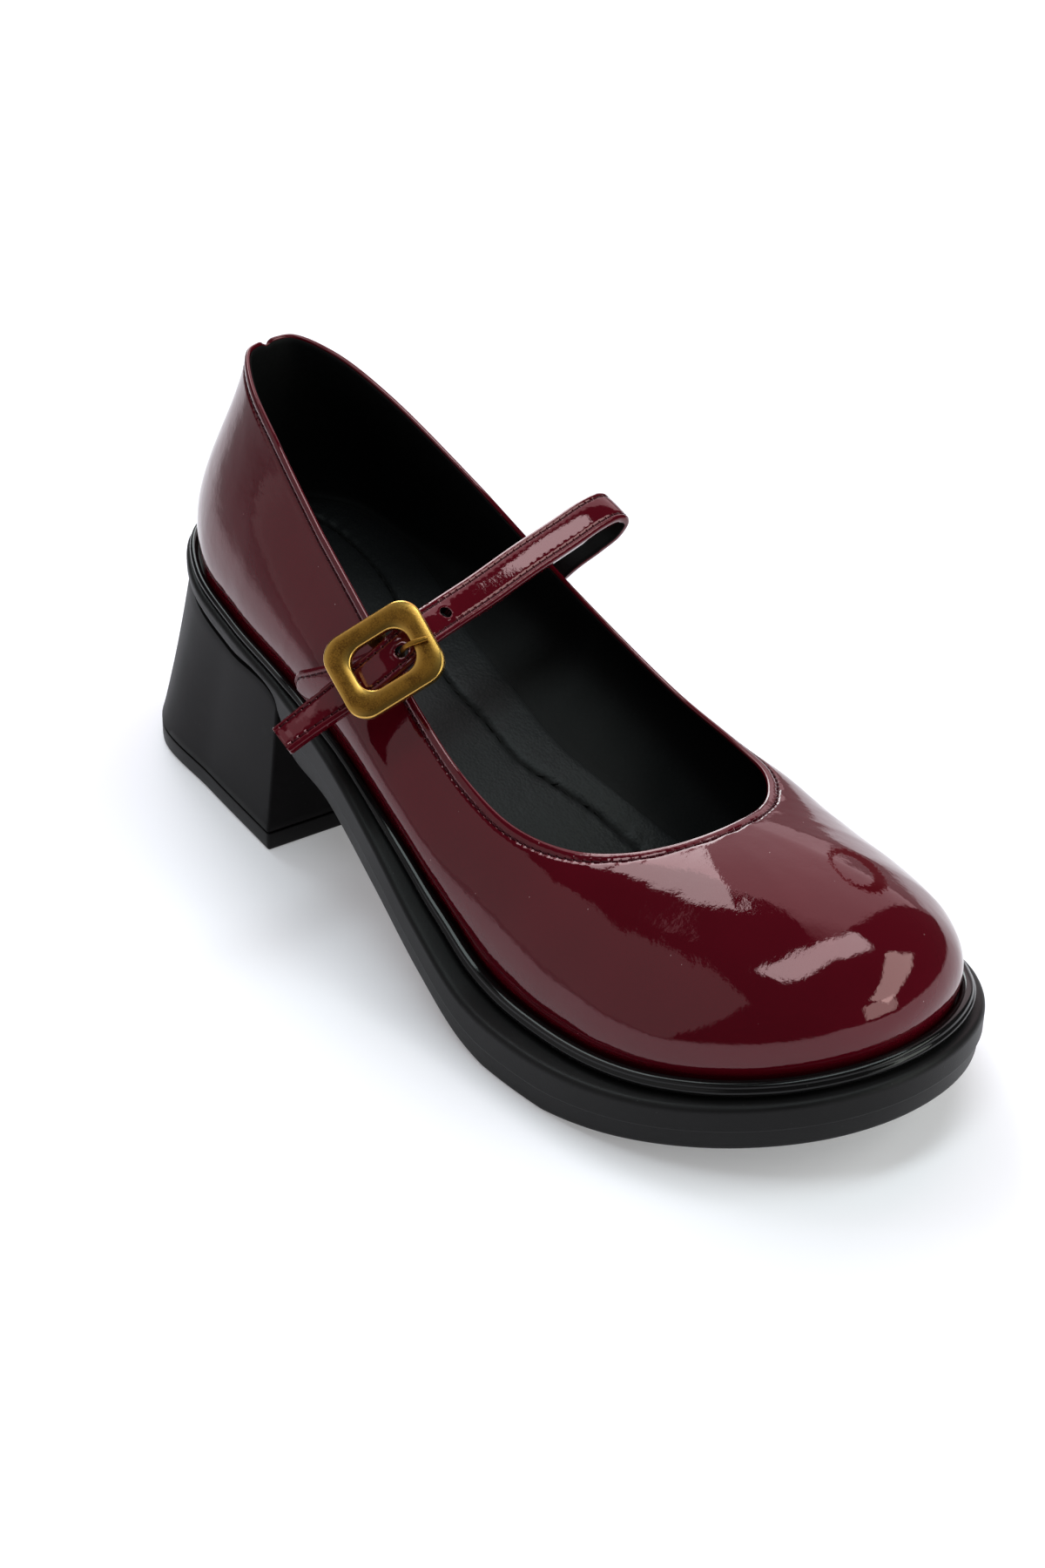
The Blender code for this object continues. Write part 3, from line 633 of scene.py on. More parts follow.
apply_modifier(insole_cover, "SOLIDIFY", thickness=1.3 * MM, offset=-1.0)
finished(insole_cover, 60, "sock_lining", "insole")

# %% Stitch the insole
seam_points = at_height(seam_line, sock.reshape(-1, 3)[gaps.argmin(axis=0), 2] + 0.05)
frames = along_line(seam_points, seam_points * 0 + LIFT, GATHER_PITCH)
insole_stitches = sew("insole_stitches", "sock_lining", 3.0, 0.30, frames)

# %% [markdown]
# ## The sole
#
# The sole is moulded rubber: a flat ledge round the upper, a rounded lip, a side with a faint
# step half way down, and an underside that follows the foot from the heel seat to the toe. The
# sheet goes round the side, and its two ends are zipped shut along the middle of the sole.

# %% Lay the sole
LIP = 1.4
half_height = (ledge + bottom) / 2
lip = [(LIP * (math.cos(a) - 1), LIP * (math.sin(a) - 1)) for a in np.radians((18, 36, 54, 72, 90))]
# How far outwards and how high each row lies, by the height that it is measured from.
SIDE = (
    (bottom, ((-2.1, 0.0), (-1.45, 0.15), (-1.05, 0.55), (-0.9, 1.2))),
    (half_height, ((-0.66, -1.1), (-0.6, -0.75), (-0.35, -0.55), (-0.08, -0.35))),
    (half_height, ((0.0, -0.1), (0.0, 0.2))),
    (ledge, ((0.0, -LIP - 0.3), (0.0, -LIP), *lip)),
    (ledge, ((-LIP - 0.5, 0.0), (-0.6 * rim - 0.6, 0.0), (-rim - 0.6, 0.0), (-rim - 1.8, 0.0))),
)
side_rows = [at_height(inset(wide), level + z) for level, steps in SIDE for wide, z in steps]
under = zipped(side_rows[0], (1.0, 0.85, 0.7, 0.55, 0.4, 0.25, 0.12, 0.04), COUNT - FINE)
over = zipped(side_rows[-1], (0.03, 0.5, 1.0), COUNT - FINE)
sole_unit = lay("sole_unit", [*under, *side_rows, *over])
finished(sole_unit, 40, "sole_rubber", "outsole")

# %% [markdown]
# ## The welt bead
#
# A round bead of glossy rubber fills the corner between ledge and upper: thin round the heel,
# stout round the toe, where a groove runs along it. Its section is carried round the upper's foot.

# %% Lay the bead
GROOVE_AT, GROOVE_WIDE, GROOVE_SHARE = 0.55, 0.20, 0.40
forward = np.clip((outline[:, 0] - 95.0) / 60.0, 0.0, 1.0)
toe_share = forward**2 * (3 - 2 * forward)
bead = 1.0 + 0.9 * toe_share
middle = at_height(inset(-rim + 0.4 + bead), ledge + 0.2 + bead)
middle += 0.06 * wavy(foot_walk, 3.7, 2.0, 13.0)[:, None] * (out + 0.5 * LIFT)
bead_rows = []
for turn in np.linspace(0.0, 2 * math.pi, 40, endpoint=False):
    size = (bead - GROOVE_SHARE * toe_share * bell(turn - GROOVE_AT, GROOVE_WIDE))[:, None]
    bead_rows.append(middle + out * size * math.cos(turn) + LIFT * size * math.sin(turn))
welt = lay("welt", bead_rows, ring=True)
finished(welt, 60, "welt_rubber", "welt_bead")

# %% [markdown]
# ## The heel
#
# The block heel stands on its own outline at the floor and widens into the sole's outline at the
# top. Its front face, the breast, is flat. Below it a top piece of harder rubber takes the wear;
# a fine line shows where the two meet.

# %% Lay the heel block and its top piece
REACH = BREAST_ROW * FINE
TOP_PIECE, HEEL_INSET, SEAT_GAP = 5.0, 0.8, 0.45
BREAST_STEPS, CORNER_STEPS = 24, 6
heel_top = at_height(inset(-HEEL_INSET), bottom - SEAT_GAP)
heel_top = heel_top[np.arange(-FINE - REACH, REACH + 1) % COUNT]
heel_knots = np.array([row[2:] for row in reversed(HEEL)] + [row[:2] for row in HEEL])
heel_floor = at_height(open_curve(heel_knots, FINE), 0.0)


def corner(before, tip, after):
    """Rounded corner between two points near its tip."""
    t = np.linspace(0.0, 1.0, CORNER_STEPS)[:, None]
    return (1 - t)**2 * before + 2 * t * (1 - t) * tip + t**2 * after


def heel_ring(share, z, grow=0.0):
    """Ring of the heel between floor and seat; share 0 is the floor, grow moves it outwards."""
    ring = heel_floor * (1 - share) + heel_top * share
    ring[:, 2] = z
    a, b = ring[-1], ring[0]
    across = unit(b - a)
    breast = a + (b - a) * np.linspace(0.0, 1.0, BREAST_STEPS + 2)[1:-1, None]
    near_a = corner(a - unit(a - ring[-2]), a, a + across)
    near_b = corner(b - across, b, b - unit(b - ring[1]))
    ring = np.concatenate([ring[1:-1], near_a, breast, near_b])
    return ring + plan_normals(ring) * grow


def heel_piece(name, steps, slot, node):
    """A piece of the heel from its rings, zipped shut below and above."""
    rows = [heel_ring(*step) for step in steps]
    partner = len(rows[0]) - 1 - BREAST_STEPS - 2 * CORNER_STEPS
    below = zipped(rows[0], (1.0, 0.6, 0.2), partner)
    piece = lay(name, [*below, *rows, *zipped(rows[-1], (0.2, 0.6, 1.0), partner)])
    finished(piece, 40, slot, node)
    return piece


seat = heel_top[:, 2]
base = TOP_PIECE + 0.3
block_steps = [(0.0, base, -0.55), (0.0, base + 0.15, -0.2), (0.0, base + 0.5)]
for share in np.linspace(0.06, 0.95, 24):
    z = base * (1 - share) + seat * share
    block_steps.append((share, z, -0.25 * math.sin(math.pi * share)))
block_steps += [(1.0, seat - 0.9), (1.0, seat - 0.3, -0.15), (1.0, seat, -0.6)]
heel_body = heel_piece("heel_body", block_steps, "heel_rubber", "heel_block")
piece_steps = [(0.0, 0.0, -0.7), (0.0, 0.12, -0.3), (0.0, 0.5, -0.05), (0.0, 1.0)]
piece_steps += [(0.0, TOP_PIECE - 0.6), (0.0, TOP_PIECE - 0.2, -0.12), (0.0, TOP_PIECE, -0.5)]
top_piece = heel_piece("top_piece", piece_steps, "sole_rubber", "heel_top_piece")

# %% [markdown]
# ## Strap and tab
#
# Strap and tab are folded bands: patent leather is turned round a thin core and stitched near
# both edges, so the top is soft at its edges and dips along the stitches, and the underside is
# black lining. A band is a section carried along a middle line. Holes are punched afterwards.

# %% The section of a band, and how it is carried
CROWN, EDGE_ROUND, EDGE_DROP = 0.34, 0.6, 0.12
STITCH_INSET, BAND_PITCH = 1.5, 2.2
BAND_GROOVE, GROOVE_HALF, BAND_SWELL = 0.20, 0.38, 0.10
SIDE_POINTS, TOP_POINTS, UNDER_POINTS = 6, 47, 13


def band_section(width, thick):
    """Section of a folded band: soft upper edges, two stitch grooves, flat underside."""
    half, up = width / 2, thick / 2
    side = np.linspace(half - EDGE_ROUND, -half + EDGE_ROUND, TOP_POINTS)
    groove = BAND_GROOVE * bell(np.abs(side) - half + STITCH_INSET, GROOVE_HALF)
    swell = BAND_SWELL * bell(np.abs(side) - half + STITCH_INSET / 2, 0.5)
    crown = swell + CROWN * (1 - (side / half)**2)
    top = np.column_stack([side, up - EDGE_DROP - groove + crown])
    arc = np.linspace(math.pi / 2, 0.0, SIDE_POINTS)[1:-1]
    arc = EDGE_ROUND * np.column_stack([np.sin(arc) - 1, np.cos(arc) - 1]) + (half, up - EDGE_DROP)
    right = np.concatenate([[(half, -up + 0.25), (half, up - EDGE_DROP - EDGE_ROUND)], arc])
    below = np.linspace(-half + 0.25, half - 0.25, UNDER_POINTS)
    under = np.column_stack([below, np.full(UNDER_POINTS, -up)])
    return np.concatenate([right, top, right[::-1] * (-1, 1), under])


def carry(centres, sides, ups, section, widths=1.0):
    """The section at every station of a middle line."""
    across = (section[:, 0] * np.broadcast_to(widths, len(centres))[:, None])[..., None]
    return centres[:, None] + across * sides[:, None] + section[:, 1:] * ups[:, None]


def square_to(sides, along):
    """Directions across, turned square to the directions along."""
    share = np.sum(sides * along, axis=-1) / np.sum(along * along, axis=-1)
    return unit(sides - along * share[..., None])


def stitch_lines(centres, sides, ups, inset, lift):
    """The two stitch lines of a band, on its lower side and on its upper side."""
    return [centres + sign * inset * sides + lift * ups for sign in (-1, 1)]


def band_marks(section, insets, widths, lines, **ends):
    """For every point of a carried band: its gap to the nearer stitch line, and the stitches."""
    side = section[:, 0]
    counts = [stitch_count(walk_along(points), BAND_PITCH, **ends)[:, None] for points in lines]
    stitches = np.where(side < 0.0, *counts)
    gaps = np.where(section[:, 1] > 0.0, np.abs(side) * widths - insets, FAR)
    return {"line_gap": gaps + 0 * stitches, "stitches": stitches}


def close_ends(piece):
    with editing(piece):
        bpy.ops.mesh.fill_holes(sides=0)


# %% Lay the strap
STRAP_STEPS = 14
STRAP_WIDTH, STRAP_THICK = 9.2, 2.0
strap_way = open_curve(np.array(STRAP), STRAP_STEPS)
strap_centres = strap_way[:, :3]
strap_along = np.gradient(strap_centres, axis=0)
tilts = np.radians(strap_way[:, 3])
flat_sides = np.column_stack([np.cos(tilts), 0 * tilts, -np.sin(tilts)])
strap_sides = square_to(flat_sides, strap_along)
strap_ups = -unit(np.cross(strap_sides, strap_along))
strap_walk = walk_along(strap_centres)
section = band_section(STRAP_WIDTH, STRAP_THICK)
strap_rows = carry(strap_centres, strap_sides, strap_ups, section)
end_way = unit(strap_centres[-1] - strap_centres[-2])
end_row = strap_centres[-1] + (strap_rows[-1] - strap_centres[-1]) * 0.93 + 0.25 * end_way

# %% The buckle's place on the strap: x up the strap, y towards the heel, z away from the foot
BUCKLE_SKEW = 0.15
buckle_at = BUCKLE_ROW * STRAP_STEPS
buckle_middle = strap_centres[buckle_at]
up_strap = unit(strap_centres[buckle_at - 9] - strap_centres[buckle_at + 9])
up_strap = unit(up_strap + BUCKLE_SKEW * strap_sides[buckle_at])
to_heel = -square_to(strap_sides[buckle_at], up_strap)
off_foot = np.cross(up_strap, to_heel)
buckle_axes = np.array([up_strap, to_heel, off_foot])


def on_buckle(points):
    return buckle_middle + np.asarray(points) @ buckle_axes


def punch(piece, place, axis, radius):
    """Punch a round hole through a band."""
    pin = add(bpy.ops.mesh.primitive_cylinder_add, vertices=24, radius=radius * MM, depth=6 * MM)
    turn = Vector(LIFT).rotation_difference(Vector(axis)).to_matrix().to_4x4()
    pin.data.transform(Matrix.Translation(Vector((place + SHIFT) * MM)) @ turn)
    apply_modifier(piece, "BOOLEAN", operation="DIFFERENCE", solver="EXACT", object=pin)
    bpy.data.objects.remove(pin)


# %% Press, stitch-mark and punch the strap
PRONG_PLACE, SPARE_PLACE, EYE = 4.3, 20.0, 1.5
EYE_SWELL, CROSS_GROOVE, LINE_LIFT = 0.22, 0.18, 0.86
spare_walk = strap_walk[buckle_at] - SPARE_PLACE
spare_place = at_walk(spare_walk, strap_walk, strap_centres)
spare_up = unit(at_walk(spare_walk, strap_walk, strap_ups))
prong_place = on_buckle((PRONG_PLACE, 0.0, 0.0))
top_points = slice(SIDE_POINTS, SIDE_POINTS + TOP_POINTS)
for place in (spare_place, prong_place):
    gap = size_of(strap_rows[:, top_points] - place - strap_ups[:, None] * 0.9)
    swell = (EYE_SWELL * bell(gap - EYE - 0.5, 0.4))[..., None]
    strap_rows[:, top_points] += swell * strap_ups[:, None]
cross_groove = CROSS_GROOVE * bell(strap_walk[-1] - strap_walk - STITCH_INSET, GROOVE_HALF)
strap_rows[:, 2 * SIDE_POINTS:TOP_POINTS] -= (cross_groove[:, None] * strap_ups)[:, None]
STRAP_ENDS = {"start": 2.0, "end": 1.6}
strap_inset = STRAP_WIDTH / 2 - STITCH_INSET
strap_lines = stitch_lines(strap_centres, strap_sides, strap_ups, strap_inset, LINE_LIFT)
marks = band_marks(section, strap_inset, 1.0, strap_lines, **STRAP_ENDS)
marks = {mark: [*grid, grid[-1]] for mark, grid in marks.items()}
strap_band = lay("strap_band", [*strap_rows, end_row], **marks)
close_ends(strap_band)
punch(strap_band, spare_place, spare_up, EYE)
punch(strap_band, prong_place, off_foot, EYE)
finished(strap_band, 50, "patent_leather", "strap")

# %% Lay the tab
TAB_WIDTH, TAB_THICK = 9.2, 1.2
BAR_RADIUS = 1.0
BAR_HEIGHT = -(STRAP_THICK / 2 + TAB_THICK + 1.2 + BAR_RADIUS)
bend = BAR_RADIUS + 0.45 + TAB_THICK / 2
angles = np.linspace(-0.2, 2.8, 6)
around_bar = [(bend * math.sin(a), 0.0, BAR_HEIGHT + bend * math.cos(a)) for a in angles]
around_bar = on_buckle(around_bar)
tab_knots = np.concatenate([open_curve(np.array([*TAB, around_bar[0]]), 2), around_bar[1:]])
share = np.minimum(np.linspace(0.0, 2.5, len(tab_knots)), 1.0)[:, None]
tab_sides = square_to((1 - share) * TAB_SIDE + share * to_heel, np.gradient(tab_knots, axis=0))
tab_way = open_curve(np.column_stack([tab_knots, tab_sides]), 8)
tab_centres, tab_sides = tab_way[:, :3], unit(tab_way[:, 3:])
tab_ups = unit(np.cross(np.gradient(tab_centres, axis=0), tab_sides))
into = np.clip(1 - walk_along(tab_centres) / (TAB_WIDTH / 2), 0.0, 1.0)
widths = np.maximum(np.sqrt(1 - into**2), 0.18)[:, None]
tab_insets = np.maximum(TAB_WIDTH / 2 * widths - STITCH_INSET, 0.0)
tab_lines = stitch_lines(tab_centres, tab_sides, tab_ups, tab_insets, 0.46)
section = band_section(TAB_WIDTH, TAB_THICK)
marks = band_marks(section, tab_insets, widths, tab_lines)
tab_rows = carry(tab_centres, tab_sides, tab_ups, section, widths[:, 0])
tab_band = lay("tab_band", tab_rows, **marks)
close_ends(tab_band)
finished(tab_band, 50, "patent_leather", "buckle_tab")

# %% [markdown]
# ### Stitches of strap and tab
#
# Both bands are stitched a millimetre and a half inside their edges, and the strap's free end
# has one more row across it.

# %% Set the stitches of the bands
BAND_STITCH = ("patent_leather", 1.45, 0.22)
last = np.searchsorted(strap_walk, strap_walk[-1] - STITCH_INSET)
across = np.linspace(-1.0, 1.0, 9)[:, None] * strap_inset
line = strap_centres[last] + across * strap_sides[last] + LINE_LIFT * strap_ups[last]
frames = [along_line(points, strap_ups, BAND_PITCH, **STRAP_ENDS) for points in strap_lines]
frames.append(along_line(line, line * 0 + strap_ups[last], STITCH_PITCH, start=0.2, end=0.2))
strap_stitches = sew("strap_stitches", *BAND_STITCH, *frames)
frames = [along_line(points, tab_ups, BAND_PITCH) for points in tab_lines]
tab_stitches = sew("tab_stitches", *BAND_STITCH, *frames)

# %% [markdown]
# ## The buckle
#
# The buckle is a cast plate with a window and a softly crowned face. Its section, from the outer
# wall over a rounded rim and the crown to the rim of the window, is carried round between two
# rounded rectangles. Two lugs below hold the bar: they are cubes with bevelled edges.

# %% Cast the frame
CORNER_POINTS = 11


def rounded_loop(length, width, corner):
    """Rounded rectangle, counter-clockwise, flat at the origin."""
    quarters = np.repeat(np.arange(4), CORNER_POINTS)
    angles = math.pi / 2 * (quarters + np.tile(np.linspace(0.0, 1.0, CORNER_POINTS), 4))
    signs = np.array([(1, 1), (-1, 1), (-1, -1), (1, -1)])[quarters]
    points = signs * (length / 2 - corner, width / 2 - corner)
    return at_height(points + corner * np.column_stack([np.cos(angles), np.sin(angles)]), 0.0)


def seat_on_buckle(piece, y, z):
    """Move a piece that was made at the origin to its place on the buckle."""
    turn = np.eye(4)
    turn[:3, :3] = buckle_axes.T
    turn[:3, 3] = (on_buckle((0.0, y, z)) + SHIFT) * MM
    piece.data.transform(Matrix(turn))
    piece.data.update()


UNDER, PLATE_TOP = STRAP_THICK / 2 + 0.3, STRAP_THICK / 2 + 2.1
LENGTH, WIDTH, BAND = 25.6, 21.6, 5.2
OUTER_CORNER, WINDOW_CORNER, RIM, PLATE_CROWN = 5.5, 4.2, 0.6, 0.28
outer_loop = rounded_loop(LENGTH, WIDTH, OUTER_CORNER)
window_loop = rounded_loop(LENGTH - 2 * BAND, WIDTH - 2 * BAND, WINDOW_CORNER)
rim_round = [(RIM * (1 - math.cos(a)) / BAND, RIM * (math.sin(a) - 1) + PLATE_TOP)
             for a in np.radians((0, 22, 45, 67, 90))]
face = [(t, PLATE_TOP + PLATE_CROWN * math.sin(math.pi * t)) for t in (0.2, 0.35, 0.5, 0.65, 0.8)]
outer_wall = [(0.0, UNDER), (0.0, UNDER + RIM), *rim_round]
window_wall = [(1 - t, z) for t, z in reversed(outer_wall)]
plate_section = [*outer_wall, *face, *window_wall, (0.5, UNDER)]
plate_rows = [outer_loop * (1 - t) + window_loop * t + LIFT * z for t, z in plate_section]
rims = [[bell(min(t, 1 - t), 0.16)] * len(outer_loop) for t, z in plate_section]
buckle = lay("buckle_plate", on_buckle(plate_rows), ring=True, rim=rims)
lugs = []
LUG_HEAD, LUG_FOOT = UNDER + 0.3, BAR_HEIGHT - 1.5
LUG_LONG, LUG_WIDE, LUG_PLACE = 4.2, 2.4, 7.1
for y in (-LUG_PLACE, LUG_PLACE):
    lug = add(bpy.ops.mesh.primitive_cube_add, size=1.0)
    lug_size = (LUG_LONG * MM, LUG_WIDE * MM, (LUG_HEAD - LUG_FOOT) * MM, 1.0)
    lug.data.transform(Matrix.Diagonal(lug_size))
    with editing(lug, "EDGE"):
        bpy.ops.mesh.bevel(offset=0.5 * MM, segments=3)
    seat_on_buckle(lug, y, (LUG_HEAD + LUG_FOOT) / 2)
    lugs.append(lug)
take(buckle, *lugs)
bpy.ops.object.join()
finished(buckle, 50, "antique_brass", "buckle_frame")

# %% The bar and the prong
BAR_LENGTH = 12.4
size = {"radius": BAR_RADIUS * MM, "depth": BAR_LENGTH * MM}
bar = add(bpy.ops.mesh.primitive_cylinder_add, vertices=20, rotation=(math.pi / 2, 0, 0), **size)
bar.name = bar.data.name = "bar"
bpy.ops.object.transform_apply(location=False, rotation=True, scale=False)
bevel_ends(bar, 1, 0.25, 2)
seat_on_buckle(bar, 0.0, BAR_HEIGHT)
finished(bar, 50, "antique_brass", "buckle_bar")

TOP = UNDER + 2.8
HOOK = BAR_RADIUS + 0.9
hook_angles = np.linspace(-2.4, 0.6, 6)
prong_way = [(HOOK * math.cos(a), 0.0, BAR_HEIGHT + HOOK * math.sin(a)) for a in hook_angles]
climb = ((-0.4, -1.5), (0.0, 0.2), (0.9, 1.9), (2.4, TOP - 0.4), (4.0, TOP), (7.0, TOP - 0.05))
prong_way += [(PRONG_PLACE + x, -0.24 * max(x, 0.0), z) for x, z in climb]
prong_line = open_curve(np.array(prong_way), 6)
steps = unit(np.gradient(prong_line, axis=0))
prong_side = square_to(np.array((0.0, 1.0, 0.0)), steps)
angles = np.linspace(0.0, 2 * math.pi, 16, endpoint=False)
circle = np.column_stack([np.cos(angles), np.sin(angles)])
flat_section = (0.62, 0.45) * np.sign(circle) * np.abs(circle)**0.55
prong_rows = carry(prong_line, prong_side, np.cross(steps, prong_side), flat_section)
tip = prong_line[-1] + (prong_rows[-1] - prong_line[-1]) * 0.8 + 0.25 * steps[-1]
prong = lay("prong", on_buckle([*prong_rows, tip]))
close_ends(prong)
finished(prong, 50, "antique_brass", "buckle_prong")

# %% [markdown]
# ## Shader maths
#
# A finish is a small program of nodes. `Wire` wraps a node's socket, so that an expression such
# as `1 - mask * 0.5` adds its own Math nodes, and `Finish.node` adds any other node from its
# type, its settings and its inputs.

# %% Wires and finishes
class Wire:
    """A node's output that can be used in Python expressions."""

    def __init__(self, finish, socket):
        self.finish, self.socket = finish, socket

    def math(self, operation, *others):
        inputs = dict(enumerate((self, *others)))
        return self.finish.node("ShaderNodeMath", {"operation": operation}, inputs)

    __add__ = __radd__ = partialmethod(math, "ADD")
    __mul__ = __rmul__ = partialmethod(math, "MULTIPLY")
    __sub__ = partialmethod(math, "SUBTRACT")
    __pow__ = partialmethod(math, "POWER")
    size = partialmethod(math, "ABSOLUTE")

    def __rsub__(self, other):
        return self * -1.0 + other

    def step(self, low, high):
        """0 below low, 1 above high, smooth between."""
        settings = {"interpolation_type": "SMOOTHSTEP", "clamp": True}
        inputs = {0: self, 1: low, 2: high, 3: 0.0, 4: 1.0}
        return self.finish.node("ShaderNodeMapRange", settings, inputs)


class Finish:
    """A material with one Principled shader."""

    def __init__(self, name, **constants):
        self.material = bpy.data.materials.new(name)
        self.material.use_nodes = True
        self.tree = self.material.node_tree
        self.shader = self.tree.nodes["Principled BSDF"]
        for socket, value in constants.items():
            self.shader.inputs[socket.replace("_", " ")].default_value = value
        self.place = self.node("ShaderNodeTexCoord", {}, {}, "Object")

    def node(self, kind, settings, inputs, output=0):
        made = self.tree.nodes.new(kind)
        for name, value in settings.items():
            setattr(made, name, value)
        for name, value in inputs.items():
            if isinstance(value, Wire):
                self.tree.links.new(value.socket, made.inputs[name])
            else:
                made.inputs[name].default_value = value
        return Wire(self, made.outputs[output])

    def along(self, axis):
        return self.node("ShaderNodeSeparateXYZ", {}, {0: self.place}, axis)

    def noise(self, size, detail=3.0, rough=0.5):
        """Cloudy pattern whose blots are about size millimetres wide."""
        inputs = {"Vector": self.place, "Scale": 1.0 / (size * MM)}
        return self.node("ShaderNodeTexNoise", {}, {**inputs, "Detail": detail, "Roughness": rough})

    def cells(self, size):
        """Distance to the middle of cells about size millimetres wide."""
        inputs = {"Vector": self.place, "Scale": 1.0 / (size * MM)}
        return self.node("ShaderNodeTexVoronoi", {}, inputs, "Distance")

    def attribute(self, name):
        return self.node("ShaderNodeAttribute", {"attribute_name": name}, {}, "Fac")

    def blend(self, factor, a, b):
        """Colour between a and b."""
        a, b = (c if isinstance(c, Wire) else (*c, 1.0) for c in (a, b))
        return self.node("ShaderNodeMix", {"data_type": "RGBA"}, {0: factor, 6: a, 7: b}, 2)

    def bump(self, height, depth, after=None):
        """Relief of a height pattern, depth in millimetres."""
        inputs = {"Height": height, "Distance": depth * MM, "Strength": 1.0}
        if after is not None:
            inputs["Normal"] = after
        return self.node("ShaderNodeBump", {}, inputs, "Normal")

    def feed(self, **wires):
        for socket, wire in wires.items():
            self.tree.links.new(wire.socket, self.shader.inputs[socket.replace("_", " ")])
        return self

    def on(self, *pieces):
        for piece in pieces:
            piece.data.materials.clear()
            piece.data.materials.append(self.material)
        print(self.material.name, "on", ", ".join(piece.name for piece in pieces))


# %% [markdown]
# ## Patent leather
#
# Patent leather is dyed leather under a thick clear lacquer. The lacquer gives sharp reflections,
# and slow and fine unevenness below it makes their edges wander. Colour varies a little, and a
# few specks of dust sit on the lacquer. The marks that we laid with the skin tell the finish
# where the needle went in: the hole is painted almost black as its shade, and the leather is
# drawn in round the hole. On the toe a ragged oval ring was pressed into the lacquer and left it
# dull.

# %% Burgundy patent, thread
MARK_MIDDLE, MARK_TURN, MARK_HALVES = (0.0932, 0.0172), 20.0, (0.0076, 0.0049)
DYE = 0.085


def pressed_ring(finish):
    """A shallow oval ring on the toe, ragged, 0 to 1."""
    dx, dy = (finish.along(axis) - middle for axis, middle in zip("XY", MARK_MIDDLE))
    c, s = math.cos(math.radians(MARK_TURN)), math.sin(math.radians(MARK_TURN))
    long, short = (dx * c - dy * s) * (1 / MARK_HALVES[0]), (dx * s + dy * c) * (1 / MARK_HALVES[1])
    ragged = finish.noise(0.9, 6.0, 0.8) - 0.5
    off_ring = ((long * long + short * short)**0.5 - 1.0 + ragged * 1.1).size()
    return 1 - (off_ring - short * 0.13).step(0.12, 0.24)


def plain(name, size, detail, dark, light, depth, **constants):
    """A finish whose colour and relief follow one fine noise."""
    finish = Finish(name, **constants)
    fuzz = finish.noise(size, detail)
    return finish.feed(Base_Color=finish.blend(fuzz, dark, light), Normal=finish.bump(fuzz, depth))


burgundy = Finish("burgundy patent", IOR=1.52)
grain = burgundy.noise(0.85, 4.0, 0.6)
deep, lit = (0.85 * DYE, 0.0010, 0.005), (1.15 * DYE, 0.0018, 0.008)
colour = burgundy.blend(burgundy.noise(26.0, 2.0), deep, lit)
speck = 1 - burgundy.cells(4.6).step(0.025, 0.04)
gap, counted = burgundy.attribute("line_gap"), burgundy.attribute("stitches")
from_hole = (0.5 - (counted.math("FRACT") - 0.5).size()) * STITCH_PITCH
hole = 1 - ((gap * gap + from_hole * from_hole)**0.5).step(0.15, 0.42)
drawn = (1 - gap.size().step(0.2, 1.6)) * (1 - from_hole.step(0.0, 0.8))
ring = pressed_ring(burgundy)
colour = burgundy.blend(speck * 0.5, colour, (0.45, 0.30, 0.30))
# Painted shade: the needle holes are coloured almost black and lose their reflection.
colour = burgundy.blend(hole * 0.9, colour, (0.012, 0.0003, 0.001))
colour = burgundy.blend(ring * 0.95, colour, (0.11, 0.001, 0.006))
relief = burgundy.bump(burgundy.noise(9.0, 1.0), 0.12)
relief = burgundy.bump(burgundy.noise(3.2, 3.0), 0.055, relief)
relief = burgundy.bump(0 - hole * 0.5 - drawn * 0.22, 0.16, relief)
burgundy.feed(
    Base_Color=colour,
    Roughness=0.03 + grain * 0.03 + speck * 0.3 + hole * 0.2 + ring * 0.85,
    Metallic=0.25 + ring * 0.75 + hole * 0.7,
    Normal=burgundy.bump(grain, 0.011, relief),
)
burgundy.on(upper_skin, strap_band, tab_band)
# Painted shade: the thread is coloured near black, darker than burgundy thread, for the shade in
# its stitch grooves.
thread = plain("burgundy thread", 0.35, 2.0, (0.020, 0.0006, 0.003), (0.050, 0.003, 0.008), 0.03,
               Roughness=0.6, Specular_IOR_Level=0.12)
thread.on(topline_stitches, strap_stitches, tab_stitches)

# %% [markdown]
# ## Lining and insole
#
# The lining is a soft synthetic leather with a dull face. The insole's leather has a fine grain
# of little cells with creases between them and a faint sheen, and its seam is painted near black as
# shade.

# %% Black lining and grained insole
lining_black = plain("black lining", 0.7, 3.0, (0.0014, 0.0014, 0.0015), (0.004, 0.004, 0.0042),
                     0.05, Roughness=0.7, Specular_IOR_Level=0.15)
lining_black.on(lining)
sock_black = Finish("grained insole leather", Specular_IOR_Level=0.16)
wear = sock_black.noise(18.0, 3.0)
# Painted shade: along the stitch line the insole is coloured near black.
seam = 1 - sock_black.attribute("line_gap").step(0.3, 1.1)
cover_colour = sock_black.blend(wear, (0.0080, 0.0082, 0.0088), (0.0120, 0.0124, 0.0132))
relief = sock_black.bump(sock_black.noise(5.0, 3.0), 0.25)
fine = sock_black.noise(0.4, 2.0) * 0.3 - sock_black.cells(0.8)
sock_black.feed(
    Base_Color=sock_black.blend(seam * 0.9, cover_colour, (0.001, 0.001, 0.001)),
    Roughness=0.42 + wear * 0.12 + seam * 0.4,
    Normal=sock_black.bump(fine, 0.085, relief),
)
sock_black.on(insole_cover)
black_thread = plain("black thread", 0.4, 2.0, (0.003, 0.003, 0.003), (0.010, 0.010, 0.010), 0.05,
                     Roughness=0.7, Specular_IOR_Level=0.1)
black_thread.on(insole_stitches)

# %% [markdown]
# ## Rubber
#
# The sole and heel are black moulded rubber: matt, with a fine grain, faint scuffs and a little
# pale dust. The bead is the same rubber, but polished by its mould.

# %% Sole, heel and bead rubber
RUBBER_TONE = (1.08, 0.97, 1.03)


